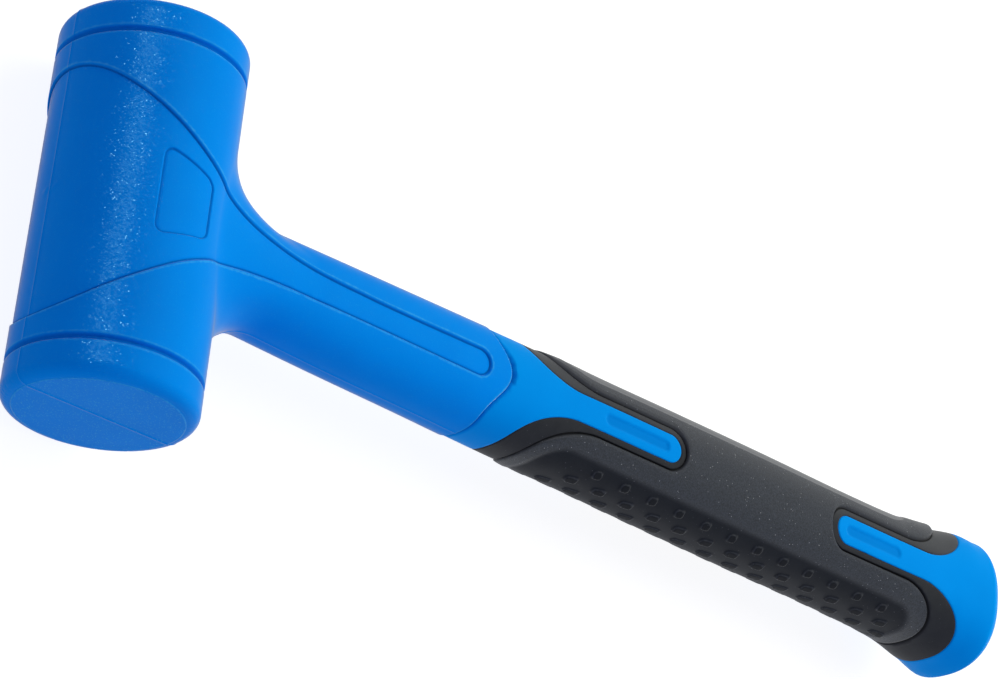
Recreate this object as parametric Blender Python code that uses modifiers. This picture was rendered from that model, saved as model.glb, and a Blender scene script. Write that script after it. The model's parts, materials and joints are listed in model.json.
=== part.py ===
"""Dead blow hammer: a moulded head over a canister of loose shot, on a two-colour handle.

Metres, +Z up. The hammer lies on its side: +X runs from the head to the butt of the
handle, Y is the axis of the head, and the origin is on the ground below the middle of
the whole hammer. Shapes are drawn about the centre of the head and carried by one empty.
"""

import math
from collections import namedtuple

import bmesh
import bpy
from mathutils import Matrix, Vector

MM = 0.001
GAP = 0.3 * MM  # room left between neighbouring pieces

# Head: a turned barrel with a ring groove near each striking face.
HEAD_RADIUS = 20.0 * MM
HEAD_HALF = 42.3 * MM
HEAD_RIM = 2.6 * MM
GROOVE_Y = 34.4 * MM
GROOVE_HALF = 0.8 * MM
GROOVE_DEPTH = 0.9 * MM
HEAD_STEPS = 48

# Neck: flares into the head with one fillet seen from above and one seen from the side.
NECK_ROOT = 8.0 * MM  # where the neck's form starts, inside the head
TOP_FILLET = 12.6 * MM
SIDE_FILLET = 14.0 * MM
FLARE_POWER = 1.9  # of the sections at the head, which thin more towards their edges
NECK_STATIONS = (  # x, half height in Y, half thickness in Z
    (30.0 * MM, 11.1 * MM, 10.5 * MM),
    (60.0 * MM, 12.05 * MM, 10.5 * MM),
    (97.0 * MM, 12.85 * MM, 11.2 * MM),
)
SKIRT_SIDE = 92.2 * MM  # where the skirt of the neck ends at the edges of the handle
SKIRT_TIP = 97.0 * MM  # where it ends in the middle of the front and the back
SKIRT_TIP_HALF = 11.0 * MM
SKIRT_WALL = 2.4 * MM
SOCKET_START = 86.0 * MM

# Flowing recess: wide round the nose of the head, narrowing to a slot along the neck.
RECESS_DEPTH = 0.5 * MM
RECESS_EDGE = (  # x, half width in Y
    (-21.0 * MM, 28.7 * MM),
    (-18.5 * MM, 26.9 * MM),
    (-11.8 * MM, 21.7 * MM),
    (-1.5 * MM, 14.9 * MM),
    (5.0 * MM, 11.4 * MM),
    (12.4 * MM, 8.2 * MM),
    (23.0 * MM, 5.7 * MM),
    (38.0 * MM, 3.6 * MM),
    (60.0 * MM, 3.1 * MM),
    (87.6 * MM, 3.3 * MM),
)
PLATE_DEPTH = 0.4 * MM  # bare sunk field on the front of the head, within the recess
PLATE_CORNERS = ((-6.2 * MM, 9.9 * MM), (7.3 * MM, 6.4 * MM))
PLATE_ROUND = 2.4 * MM

# Handle core: superellipse sections, a flared butt and a domed end.
SECTION_POWER = 2.4
HANDLE_STATIONS = (  # x, half height in Y, half thickness in Z
    (84.0 * MM, 12.4 * MM, 10.6 * MM),
    (108.0 * MM, 12.7 * MM, 11.2 * MM),
    (126.0 * MM, 12.4 * MM, 11.8 * MM),
    (150.0 * MM, 12.7 * MM, 12.2 * MM),
    (180.0 * MM, 13.0 * MM, 12.5 * MM),
    (210.0 * MM, 12.9 * MM, 13.0 * MM),
    (228.0 * MM, 13.4 * MM, 13.4 * MM),
    (240.0 * MM, 14.9 * MM, 13.8 * MM),
    (248.0 * MM, 16.5 * MM, 14.7 * MM),
    (256.0 * MM, 17.45 * MM, 15.6 * MM),
)
DOME_START = HANDLE_STATIONS[-1][0]
DOME_POWER = 1.2
DOME_CROWN = 2.1
BUTT_END = 265.2 * MM
BUTT_DROP = 0.85 * MM  # how much the butt hangs down, from where the drop starts
DROP_START = 249.0 * MM
SLOT_DEPTH = 0.5 * MM
SLOT_HALF = 1.5 * MM
FRONT_SLOT = (125.0 * MM, 145.2 * MM)
REAR_SLOT = (204.2 * MM, 223.5 * MM)

# Grip sleeve: windows that show the core, a thin rim round them, and a raised pad set back from
# the rim. Each edge is a tongue with a round tip that flares out to the sides of the handle.
Edge = namedtuple("Edge", "tip tongue flare rim rim_half power")
FRONT_WINDOW = Edge(148.8 * MM, 3.45 * MM, 118.0 * MM, 100.0 * MM, 16.0 * MM, 1.78)
REAR_WINDOW = Edge(201.4 * MM, 3.65 * MM, 232.0 * MM, 248.4 * MM, 18.5 * MM, 2.0)
FRONT_PAD = Edge(150.4 * MM, 5.1 * MM, 124.0 * MM, 105.6 * MM, 17.0 * MM, 1.78)
REAR_PAD = Edge(199.0 * MM, 5.3 * MM, 226.0 * MM, 239.8 * MM, 17.5 * MM, 2.0)
SLEEVE_WALL = 2.4 * MM
PAD_RISE = 0.8 * MM
PALM_RISE = 0.5 * MM
PALM_HALF = 4.5 * MM
PALM_SPAN = (113.0 * MM, 234.0 * MM)
STUD_PITCH = 8.68 * MM
STUD_START = 116.4 * MM
STUD_SHIFT = 3.95 * MM  # how much later each row starts than the one before
STUD_ROWS = ((211.0, 14), (190.0, 14), (168.5, 13), (149.0, 12))  # degrees from +Y, studs in the row
STUD_SLANT = math.radians(14)
STUD_LENGTH = 3.4 * MM
STUD_WIDTH = 2.4 * MM
STUD_TAPER = 0.7
STUD_RISE = 0.6 * MM
STUD_ROOT = 0.9 * MM

# Canister of loose shot, the rod welded to its side, and the shot.
CAN_RADIUS = 14.0 * MM
CAN_WALL = 1.8 * MM
CAN_HALF = 34.0 * MM
CAN_STEPS = 36
CAP_DEPTH = 4.0 * MM
CAP_THICKNESS = 1.6 * MM
ROD_RADIUS = 5.0 * MM
ROD_END = 236.0 * MM
ROD_STEPS = 24
ROD_GROOVES = (206.0 * MM, 214.0 * MM, 222.0 * MM)
ROD_GROOVE_HALF = 1.2 * MM
ROD_GROOVE_DEPTH = 1.0 * MM
ROD_CHAMFER = 1.0 * MM
WELD_LEG = 3.4 * MM
WELD_TOE = 0.6 * MM
SHOT_RADIUS = 3.8 * MM
SHOT_PITCH = 8.0 * MM
SHOT_LAYERS = 4

OUTER_POINTS = 28  # points round a section that shows, and round a hidden one
INNER_POINTS = 20
FAR = 30.0 * MM  # beyond every surface of the hammer

HEAD_CENTRE = Vector(((HEAD_RADIUS - BUTT_END) / 2, 0.0, HEAD_RADIUS))


def clear_scene():
    for thing in list(bpy.data.objects):
        bpy.data.objects.remove(thing, do_unlink=True)


def new_collection(name):
    collection = bpy.data.collections.new(name)
    bpy.context.scene.collection.children.link(collection)
    return collection


def new_material(name, colour, roughness, metallic=0.0):
    material = bpy.data.materials.new(name)
    material.use_nodes = True
    shader = material.node_tree.nodes["Principled BSDF"]
    shader.inputs["Base Color"].default_value = (*colour, 1.0)
    shader.inputs["Roughness"].default_value = roughness
    shader.inputs["Metallic"].default_value = metallic
    return material


clear_scene()
PIECES = new_collection("dead_blow_hammer")
CUTTERS = new_collection("cutters")
ROOT = bpy.data.objects.new("head_centre", None)
ROOT.location = HEAD_CENTRE
PIECES.objects.link(ROOT)

BLUE_SHELL = new_material("blue_polyurethane", (0.0, 0.15, 0.60), 0.45)
BLUE_CORE = new_material("blue_plastic", (0.0, 0.22, 0.75), 0.40)
BLACK_GRIP = new_material("black_grip_rubber", (0.025, 0.027, 0.030), 0.75)
STEEL = new_material("canister_steel", (0.55, 0.56, 0.58), 0.38, 1.0)
ROD_STEEL = new_material("rod_steel", (0.45, 0.46, 0.48), 0.45, 1.0)
WELD_STEEL = new_material("weld_metal", (0.30, 0.29, 0.28), 0.60, 1.0)
SHOT_STEEL = new_material("shot_steel", (0.62, 0.63, 0.65), 0.25, 1.0)


def add_piece(name, mesh, material=None):
    """A finished piece when it has a material, and otherwise a hidden cutter."""
    thing = bpy.data.objects.new(name, mesh)
    thing.parent = ROOT
    if material:
        PIECES.objects.link(thing)
        mesh.materials.append(material)
    else:
        CUTTERS.objects.link(thing)
        thing.hide_render = True
        thing.display_type = "WIRE"
    return thing


def shade(mesh):
    mesh.shade_smooth()
    mesh.set_sharp_from_angle(angle=math.radians(40))


def combine(target, other, operation):
    step = target.modifiers.new(operation.lower() + "_" + other.name, "BOOLEAN")
    step.operation = operation
    step.object = other


def at_station(stations, x, column):
    """A smooth curve through the stations' values, level with the slope of its neighbours."""
    last = len(stations) - 2
    index = min(max(sum(x >= row[0] for row in stations) - 1, 0), last)

    def slope(place):
        before = stations[max(place - 1, 0)]
        after = stations[min(place + 1, last + 1)]
        return (after[column] - before[column]) / (after[0] - before[0])

    low, high = stations[index], stations[index + 1]
    length = high[0] - low[0]
    t = (x - low[0]) / length
    value = low[column] * (1 + 2 * t) * (1 - t) ** 2 + high[column] * t * t * (3 - 2 * t)
    return value + length * (slope(index) * t * (1 - t) ** 2 - slope(index + 1) * t * t * (1 - t))


def handle_sizes(x):
    return at_station(HANDLE_STATIONS, x, 1), at_station(HANDLE_STATIONS, x, 2)


def neck_sizes(x):
    """Half height and half thickness of the neck, with its fillets into the head."""
    start = NECK_STATIONS[0][0]
    height = at_station(NECK_STATIONS, max(x, start), 1)
    thickness = at_station(NECK_STATIONS, max(x, start), 2)
    reach = min(max(HEAD_RADIUS + TOP_FILLET - x, 0.0), TOP_FILLET)
    height += TOP_FILLET - math.sqrt(TOP_FILLET ** 2 - reach ** 2)
    centre = math.sqrt((HEAD_RADIUS + SIDE_FILLET) ** 2 - (thickness + SIDE_FILLET) ** 2)
    touch = centre * SIDE_FILLET / (HEAD_RADIUS + SIDE_FILLET)  # where the fillet meets the head
    reach = min(max(centre - x, 0.0), touch)
    thickness += SIDE_FILLET - math.sqrt(SIDE_FILLET ** 2 - reach ** 2)
    return height, thickness


def butt_drop(x):
    """How far the middle of the handle has sunk at x, in a smooth rise to the butt's drop."""
    t = min(max((x - DROP_START) / (DOME_START - DROP_START), 0.0), 1.0)
    return BUTT_DROP * t * t * (3 - 2 * t)


def ring(x, height, thickness, count=OUTER_POINTS, power=SECTION_POWER):
    """Superellipse section across the handle."""
    points = []
    for index in range(count):
        turn = 2 * math.pi * (index + 0.5) / count
        across = math.copysign(abs(math.cos(turn)) ** (2 / power), math.cos(turn))
        up = math.copysign(abs(math.sin(turn)) ** (2 / power), math.sin(turn))
        points.append(Vector((x, height * across - butt_drop(x), thickness * up)))
    return points


def loft(name, rings):
    """Closed body through the rings, which share their count of points."""
    shape = bmesh.new()
    loops = [[shape.verts.new(point) for point in points] for points in rings]
    count = len(rings[0])
    for low, high in zip(loops, loops[1:]):
        for index in range(count):
            after = (index + 1) % count
            shape.faces.new((low[index], low[after], high[after], high[index]))
    shape.faces.new(reversed(loops[0]))
    shape.faces.new(loops[-1])
    mesh = bpy.data.meshes.new(name)
    shape.to_mesh(mesh)
    shape.free()
    shade(mesh)
    return mesh


def spaced(start, end, count):
    return [start + (end - start) * index / count for index in range(count + 1)]


def handle_loft(name, start, end, count, offset=0.0):
    """Stretch of the handle's own form, moved in or out by the offset."""
    points = INNER_POINTS if offset <= GAP - SKIRT_WALL else OUTER_POINTS
    rings = []
    for x in spaced(start, end, count):
        height, thickness = handle_sizes(x)
        rings.append(ring(x, height + offset, thickness + offset, points))
    return loft(name, rings)


def neck_loft(name, end, offset=0.0):
    flare_end = HEAD_RADIUS + TOP_FILLET
    stations = spaced(NECK_ROOT, HEAD_RADIUS, 4) + spaced(HEAD_RADIUS, flare_end, 7)[1:]
    stations += spaced(flare_end, end, 5)[1:]
    rings = []
    for x in stations:
        height, thickness = neck_sizes(x)
        flare = min(max((flare_end - x) / TOP_FILLET, 0.0), 1.0)
        power = SECTION_POWER + (FLARE_POWER - SECTION_POWER) * flare ** 2
        rings.append(ring(x, height + offset, thickness + offset, power=power))
    return loft(name, rings)


def turned(name, profile, steps, axis):
    """Mesh of the profile (radius, height) turned about an axis through the head's centre."""
    mesh = bpy.data.meshes.new(name + "_profile")
    vertices = [(radius, 0.0, height) for radius, height in profile]
    edges = [(index, index + 1) for index in range(len(profile) - 1)]
    mesh.from_pydata(vertices, edges, [])
    thing = bpy.data.objects.new(name + "_profile", mesh)
    bpy.context.scene.collection.objects.link(thing)
    screw = thing.modifiers.new("turn", "SCREW")
    screw.steps = steps
    screw.render_steps = steps
    screw.use_merge_vertices = True
    screw.merge_threshold = 0.01 * MM
    screw.use_smooth_shade = True
    result = to_mesh(name, thing)
    turn = {"X": Matrix.Rotation(math.pi / 2, 4, "Y"), "Y": Matrix.Rotation(-math.pi / 2, 4, "X")}
    result.transform(turn[axis])
    shade(result)
    return result


def to_mesh(name, thing):
    """The evaluated mesh of an object that is then removed."""
    graph = bpy.context.evaluated_depsgraph_get()
    mesh = bpy.data.meshes.new_from_object(thing.evaluated_get(graph))
    mesh.name = name
    bpy.data.objects.remove(thing, do_unlink=True)
    shape = bmesh.new()
    shape.from_mesh(mesh)
    bmesh.ops.remove_doubles(shape, verts=shape.verts, dist=0.001 * MM)
    shape.to_mesh(mesh)
    shape.free()
    return mesh


def prism(name, outline, low=-FAR, high=FAR):
    """Flat outline in the XY plane, filled and extruded from low to high."""
    curve = bpy.data.curves.new(name, "CURVE")
    curve.dimensions = "2D"
    curve.fill_mode = "BOTH"
    curve.extrude = (high - low) / 2
    spline = curve.splines.new("POLY")
    spline.points.add(len(outline) - 1)
    for point, (x, y) in zip(spline.points, outline):
        point.co = (x, y, 0.0, 1.0)
    spline.use_cyclic_u = True
    thing = bpy.data.objects.new(name, curve)
    bpy.context.scene.collection.objects.link(thing)
    mesh = to_mesh(name, thing)
    mesh.transform(Matrix.Translation((0.0, 0.0, (low + high) / 2)))
    return mesh


def rod_mesh(name, radius, start, end):
    """Plain cylinder along the handle."""
    shape = bmesh.new()
    bmesh.ops.create_cone(
        shape, cap_ends=True, segments=ROD_STEPS, radius1=radius, radius2=radius, depth=end - start)
    mesh = bpy.data.meshes.new(name)
    shape.to_mesh(mesh)
    shape.free()
    mesh.transform(Matrix.Translation(((start + end) / 2, 0, 0)) @ Matrix.Rotation(math.pi / 2, 4, "Y"))
    shade(mesh)
    return mesh


def barrel_mesh(name, radius, half, steps=HEAD_STEPS):
    return turned(name, [(0.0, half), (radius, half), (radius, -half), (0.0, -half)], steps, "Y")


def capsule(start, end, half, points=6):
    """Slot outline with round ends."""
    outline = []
    for centre, sign in ((end - half, 1), (start + half, -1)):
        for index in range(points + 1):
            turn = math.pi * (index / points - 0.5)
            outline.append((centre + sign * half * math.cos(turn), sign * half * math.sin(turn)))
    return outline


def both_sides(edge):
    """Open edge from the +Y side to the middle, carried on to the -Y side."""
    return edge + [(x, -y) for x, y in reversed(edge) if abs(y) > 0.001 * MM]


def window_edge(edge, margin=0.0):
    """Points of an edge in plan, from the +Y side to the -Y side; the margin widens its window."""
    sign = math.copysign(1, edge.tip - edge.flare)
    tip, tongue = edge.tip + sign * margin, edge.tongue + margin
    rim = edge.rim + sign * margin
    points = [(rim, FAR)]
    for index in range(11):
        turn = math.pi / 2 * index / 10
        x = edge.flare + (rim - edge.flare) * math.cos(turn) ** (2 / edge.power)
        y = edge.rim_half - (edge.rim_half - tongue) * math.sin(turn) ** (2 / edge.power)
        points.append((x, y))
    for index in range(7):
        turn = math.pi / 2 * index / 6
        points.append((tip - sign * tongue * (1 - math.sin(turn)), tongue * math.cos(turn)))
    return both_sides(points)


def sleeve_outline(front, rear, margin=0.0):
    """Plan of the handle between a front edge and a rear edge."""
    return window_edge(front, margin) + list(reversed(window_edge(rear, margin)))


def skirt_edge(margin):
    """Rounded chevron where the skirt of the neck ends."""
    edge = [(SKIRT_SIDE + margin, FAR)]
    for y in spaced(SKIRT_TIP_HALF, 0.0, 8):
        lift = math.cos(math.pi / 2 * y / SKIRT_TIP_HALF) ** 2
        edge.append((SKIRT_SIDE + (SKIRT_TIP - SKIRT_SIDE) * lift + margin, y))
    return both_sides(edge)


def recess_outline():
    """Flowing recess, from the nose of the head to the round end of the slot."""
    end_x, end_half = RECESS_EDGE[-1]
    upper = [(-FAR, RECESS_EDGE[0][1])]
    for x in spaced(RECESS_EDGE[0][0], end_x, 28):
        upper.append((x, at_station(RECESS_EDGE, x, 1)))
    for index in range(1, 7):
        turn = math.pi / 2 * index / 6
        upper.append((end_x + end_half * math.sin(turn), end_half * math.cos(turn)))
    return both_sides(upper)


def plate_outline():
    """Rounded trapezium, wider towards the nose of the head."""
    (left, tall), (right, low) = PLATE_CORNERS
    outline = []
    corners = ((left, tall, -1, 1), (left, -tall, -1, -1), (right, -low, 1, -1), (right, low, 1, 1))
    for x, y, across, up in corners:
        centre = Vector((x - across * PLATE_ROUND, y - up * PLATE_ROUND))
        for index in range(5):
            part = index / 4 if across * up > 0 else 1 - index / 4
            turn = math.pi / 2 * part
            outline.append((centre.x + across * PLATE_ROUND * math.cos(turn),
                            centre.y + up * PLATE_ROUND * math.sin(turn)))
    return outline


def head_profile():
    """Half of the barrel's outline, from the upper striking face to the lower one."""
    upper = [(0.0, HEAD_HALF)]
    for index in range(5):
        turn = math.pi / 2 * index / 4
        upper.append((HEAD_RADIUS - HEAD_RIM * (1 - math.sin(turn)),
                      HEAD_HALF - HEAD_RIM * (1 - math.cos(turn))))
    upper.append((HEAD_RADIUS, GROOVE_Y + GROOVE_HALF))
    upper.append((HEAD_RADIUS - GROOVE_DEPTH, GROOVE_Y + 0.4 * GROOVE_HALF))
    upper.append((HEAD_RADIUS - GROOVE_DEPTH, GROOVE_Y - 0.4 * GROOVE_HALF))
    upper.append((HEAD_RADIUS, GROOVE_Y - GROOVE_HALF))
    return upper + [(radius, -y) for radius, y in reversed(upper)]


def weld_profile():
    """Fillet of weld metal round the rod where it meets the canister, as (radius, -x)."""
    inner = ROD_RADIUS + GAP
    outer, root, toe = inner + WELD_LEG, 0.7 * CAN_RADIUS, CAN_RADIUS + WELD_LEG
    return [(inner, -root), (outer, -root), (outer, -CAN_RADIUS), (inner + WELD_TOE, -toe), (inner, -toe),
            (inner, -root)]


def make_head_shell():
    shell = add_piece("head_shell", turned("head_shell", head_profile(), HEAD_STEPS, "Y"), BLUE_SHELL)
    neck = add_piece("neck_form", neck_loft("neck_form", SKIRT_TIP + 2 * MM))
    beyond = skirt_edge(0.0) + [(SKIRT_TIP + FAR, -FAR), (SKIRT_TIP + FAR, FAR)]
    combine(neck, add_piece("skirt_cut", prism("skirt_cut", beyond)), "DIFFERENCE")
    combine(shell, neck, "UNION")

    recess = add_piece("recess_cut", prism("recess_cut", recess_outline()))
    barrel = barrel_mesh("recess_floor_head", HEAD_RADIUS - RECESS_DEPTH, HEAD_HALF)
    combine(recess, add_piece("recess_floor_head", barrel), "DIFFERENCE")
    floor = neck_loft("recess_floor_neck", SKIRT_TIP + FAR, -RECESS_DEPTH)
    combine(recess, add_piece("recess_floor_neck", floor), "DIFFERENCE")
    combine(shell, recess, "DIFFERENCE")

    plate = add_piece("plate_cut", prism("plate_cut", plate_outline(), 0.0, FAR))
    floor = barrel_mesh("plate_floor", HEAD_RADIUS - RECESS_DEPTH - PLATE_DEPTH, HEAD_HALF)
    combine(plate, add_piece("plate_floor", floor), "DIFFERENCE")
    combine(shell, plate, "DIFFERENCE")

    cap_top = CAN_HALF + GAP + CAP_THICKNESS
    cavity = add_piece("can_cavity", barrel_mesh("can_cavity", CAN_RADIUS + GAP, cap_top + GAP, CAN_STEPS))
    bore = rod_mesh("rod_bore", ROD_RADIUS + GAP, 0.0, SKIRT_TIP + FAR)
    combine(cavity, add_piece("rod_bore", bore), "UNION")
    room = rod_mesh("weld_room", ROD_RADIUS + WELD_LEG + 2 * GAP, 0.0, CAN_RADIUS + WELD_LEG + 2 * GAP)
    combine(cavity, add_piece("weld_room", room), "UNION")
    socket = handle_loft("socket", SOCKET_START, SKIRT_TIP + FAR, 4, GAP - SKIRT_WALL)
    combine(cavity, add_piece("socket", socket), "UNION")
    combine(shell, cavity, "DIFFERENCE")


def handle_core_rings():
    """The handle's sections, closed at the butt by a dome."""
    rings = []
    for x in spaced(HANDLE_STATIONS[0][0], DOME_START, 17):
        rings.append(ring(x, *handle_sizes(x)))
    height, thickness = handle_sizes(DOME_START)
    last_turn = math.radians(82)

    def bulge(turn):
        return (1 - math.cos(turn) ** DOME_CROWN) ** (1 / DOME_POWER)

    reach = (BUTT_END - DOME_START) / bulge(last_turn)
    for turn in spaced(0.0, last_turn, 8)[1:]:
        scale = math.cos(turn)
        rings.append(ring(DOME_START + reach * bulge(turn), height * scale, thickness * scale))
    return rings


def make_handle_core():
    core = add_piece("handle_core", loft("handle_core", handle_core_rings()), BLUE_CORE)
    before = skirt_edge(GAP) + [(0.0, -FAR), (0.0, FAR)]
    combine(core, add_piece("shoulder_cut", prism("shoulder_cut", before)), "DIFFERENCE")
    spigot = handle_loft("spigot", SOCKET_START + GAP, SKIRT_TIP + 3 * MM, 3, -SKIRT_WALL)
    combine(core, add_piece("spigot", spigot), "UNION")

    outline = sleeve_outline(FRONT_WINDOW, REAR_WINDOW, -GAP)
    band = add_piece("sleeve_band", prism("sleeve_band", outline))
    inner = handle_loft("sleeve_seat", SKIRT_TIP, DOME_START, 10, -SLEEVE_WALL)
    combine(band, add_piece("sleeve_seat", inner), "DIFFERENCE")
    combine(core, band, "DIFFERENCE")

    floor = add_piece("slot_floor", handle_loft("slot_floor", SKIRT_TIP, DOME_START, 20, -SLOT_DEPTH))
    for name, span in (("front_slot", FRONT_SLOT), ("rear_slot", REAR_SLOT)):
        slot = add_piece(name, prism(name, capsule(*span, SLOT_HALF)))
        combine(slot, floor, "DIFFERENCE")
        combine(core, slot, "DIFFERENCE")

    bore = rod_mesh("core_bore", ROD_RADIUS + GAP, 0.0, ROD_END + GAP)
    combine(core, add_piece("core_bore", bore), "DIFFERENCE")


def stud_mesh(name):
    """Rows of low studs along the underside of the grip, each row set back from the one before."""
    shape = bmesh.new()
    for row, (degrees, count) in enumerate(STUD_ROWS):
        for index in range(count):
            add_stud(shape, STUD_START + row * STUD_SHIFT + index * STUD_PITCH, math.radians(degrees))
    mesh = bpy.data.meshes.new(name)
    shape.to_mesh(mesh)
    shape.free()
    return mesh


def add_stud(shape, x, turn):
    """One slanted stud, square to the pad at x and at an angle from +Y round the handle."""
    half_y, half_z = (size + PAD_RISE for size in handle_sizes(x))
    across, up = math.cos(turn) / half_y, math.sin(turn) / half_z
    radius = (abs(across) ** SECTION_POWER + abs(up) ** SECTION_POWER) ** (-1 / SECTION_POWER)
    slope_y = math.copysign(abs(across) ** (SECTION_POWER - 1), across) / half_y
    slope_z = math.copysign(abs(up) ** (SECTION_POWER - 1), up) / half_z
    normal = Vector((0.0, slope_y, slope_z)).normalized()
    along = Matrix.Rotation(STUD_SLANT, 3, normal) @ Vector((1.0, 0.0, 0.0))
    frame = Matrix((along, normal.cross(along), normal)).transposed().to_4x4()
    middle = radius * Vector((0.0, math.cos(turn), math.sin(turn)))
    middle += Vector((x, 0.0, 0.0)) + normal * (STUD_RISE - STUD_ROOT) / 2
    stretch = Matrix.Diagonal((STUD_LENGTH, STUD_WIDTH, 1.0, 1.0)) @ Matrix.Rotation(math.pi / 4, 4, "Z")
    base = math.sqrt(0.5)  # a four-sided cone of this radius has sides of one unit
    bmesh.ops.create_cone(
        shape, cap_ends=True, segments=4, radius1=base, radius2=STUD_TAPER * base,
        depth=STUD_RISE + STUD_ROOT, matrix=Matrix.Translation(middle) @ frame @ stretch)


def make_grip_sleeve():
    start, end = SKIRT_TIP, DOME_START
    sleeve = add_piece("grip_sleeve", handle_loft("grip_sleeve", start, end, 16), BLACK_GRIP)
    plan = prism("sleeve_plan", sleeve_outline(FRONT_WINDOW, REAR_WINDOW))
    combine(sleeve, add_piece("sleeve_plan", plan), "INTERSECT")

    pad = add_piece("pad_form", handle_loft("pad_form", start, end, 16, PAD_RISE))
    plan = prism("pad_plan", sleeve_outline(FRONT_PAD, REAR_PAD))
    combine(pad, add_piece("pad_plan", plan), "INTERSECT")
    combine(sleeve, pad, "UNION")

    palm = add_piece("palm_form", handle_loft("palm_form", start, end, 16, PAD_RISE + PALM_RISE))
    strip = prism("palm_plan", capsule(*PALM_SPAN, PALM_HALF), -FAR, -PALM_HALF)
    strip.transform(Matrix.Rotation(math.pi / 2, 4, "X"))
    combine(palm, add_piece("palm_plan", strip), "INTERSECT")
    combine(sleeve, palm, "UNION")

    combine(sleeve, add_piece("studs", stud_mesh("studs")), "UNION")
    hollow = handle_loft("sleeve_hollow", SOCKET_START, end, 10, GAP - SLEEVE_WALL)
    combine(sleeve, add_piece("sleeve_hollow", hollow), "DIFFERENCE")


def make_canister():
    inner = CAN_RADIUS - CAN_WALL
    wall = [(inner, CAN_HALF), (CAN_RADIUS, CAN_HALF), (CAN_RADIUS, -CAN_HALF), (inner, -CAN_HALF),
            (inner, CAN_HALF)]
    add_piece("canister_tube", turned("canister_tube", wall, CAN_STEPS, "Y"), STEEL)

    seat = inner - GAP
    foot, lip = CAN_HALF - CAP_DEPTH, CAN_HALF + GAP
    top = lip + CAP_THICKNESS
    cup = [(0.0, foot + CAP_THICKNESS), (seat - CAP_THICKNESS, foot + CAP_THICKNESS),
           (seat - CAP_THICKNESS, top), (CAN_RADIUS, top), (CAN_RADIUS, lip), (seat, lip), (seat, foot),
           (0.0, foot)]
    for name, turn in (("canister_cap_upper", 0.0), ("canister_cap_lower", math.pi)):
        cap = add_piece(name, turned(name, cup, CAN_STEPS, "Y"), STEEL)
        cap.rotation_euler.x = turn


def make_rod():
    profile = [(0.0, 0.0), (ROD_RADIUS, 0.0)]
    for x in ROD_GROOVES:
        floor = ROD_RADIUS - ROD_GROOVE_DEPTH
        profile += [(ROD_RADIUS, -x + ROD_GROOVE_HALF), (floor, -x + 0.5 * ROD_GROOVE_HALF),
                    (floor, -x - 0.5 * ROD_GROOVE_HALF), (ROD_RADIUS, -x - ROD_GROOVE_HALF)]
    tip = ROD_RADIUS - ROD_CHAMFER
    profile += [(ROD_RADIUS, ROD_CHAMFER - ROD_END), (tip, -ROD_END), (0.0, -ROD_END)]
    mesh = turned("handle_rod", profile, ROD_STEPS, "X")
    mesh.transform(Matrix.Rotation(math.pi, 4, "Z"))
    rod = add_piece("handle_rod", mesh, ROD_STEEL)
    cope = add_piece("rod_cope", barrel_mesh("rod_cope", CAN_RADIUS + GAP, CAN_HALF, 80))
    combine(rod, cope, "DIFFERENCE")

    bead = turned("rod_weld", weld_profile(), ROD_STEPS, "X")
    bead.transform(Matrix.Rotation(math.pi, 4, "Z"))
    combine(add_piece("rod_weld", bead, WELD_STEEL), cope, "DIFFERENCE")


def make_shot():
    """Layers of seven balls: one on the canister's axis and six round it."""
    carrier = bpy.data.objects.new("shot_carrier", None)
    carrier.parent = ROOT
    PIECES.objects.link(carrier)
    shape = bmesh.new()
    bmesh.ops.create_icosphere(shape, subdivisions=2, radius=SHOT_RADIUS)
    ball = bpy.data.meshes.new("shot_ball")
    shape.to_mesh(ball)
    shape.free()
    ball.shade_smooth()
    ball.materials.append(SHOT_STEEL)
    places = [Vector((0.0, 0.0))]
    for index in range(6):
        turn = math.pi / 3 * index
        places.append(SHOT_PITCH * Vector((math.cos(turn), math.sin(turn))))
    number = 0
    for layer in range(SHOT_LAYERS):
        y = (layer - (SHOT_LAYERS - 1) / 2) * SHOT_PITCH
        for place in places:
            number += 1
            thing = bpy.data.objects.new(f"shot_{number:02d}", ball)
            thing.location = (place.x, y, place.y)
            thing.parent = carrier
            PIECES.objects.link(thing)


def main():
    make_head_shell()
    make_handle_core()
    make_grip_sleeve()
    make_canister()
    make_rod()
    make_shot()


main()
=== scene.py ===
"""Looks of a dead blow hammer: fine meshes, finishes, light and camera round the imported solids.

Meshes are worked out in millimetres about the centre of the head, where the hammer is drawn:
+X runs along the handle to the butt, Y is the axis of the head, +Z is up. Each is placed in
the frame, in metres, when its object is made.
"""

import json
import math
from collections import namedtuple

import bmesh
import bpy
import numpy as np
from mathutils import Matrix, Vector

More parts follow.
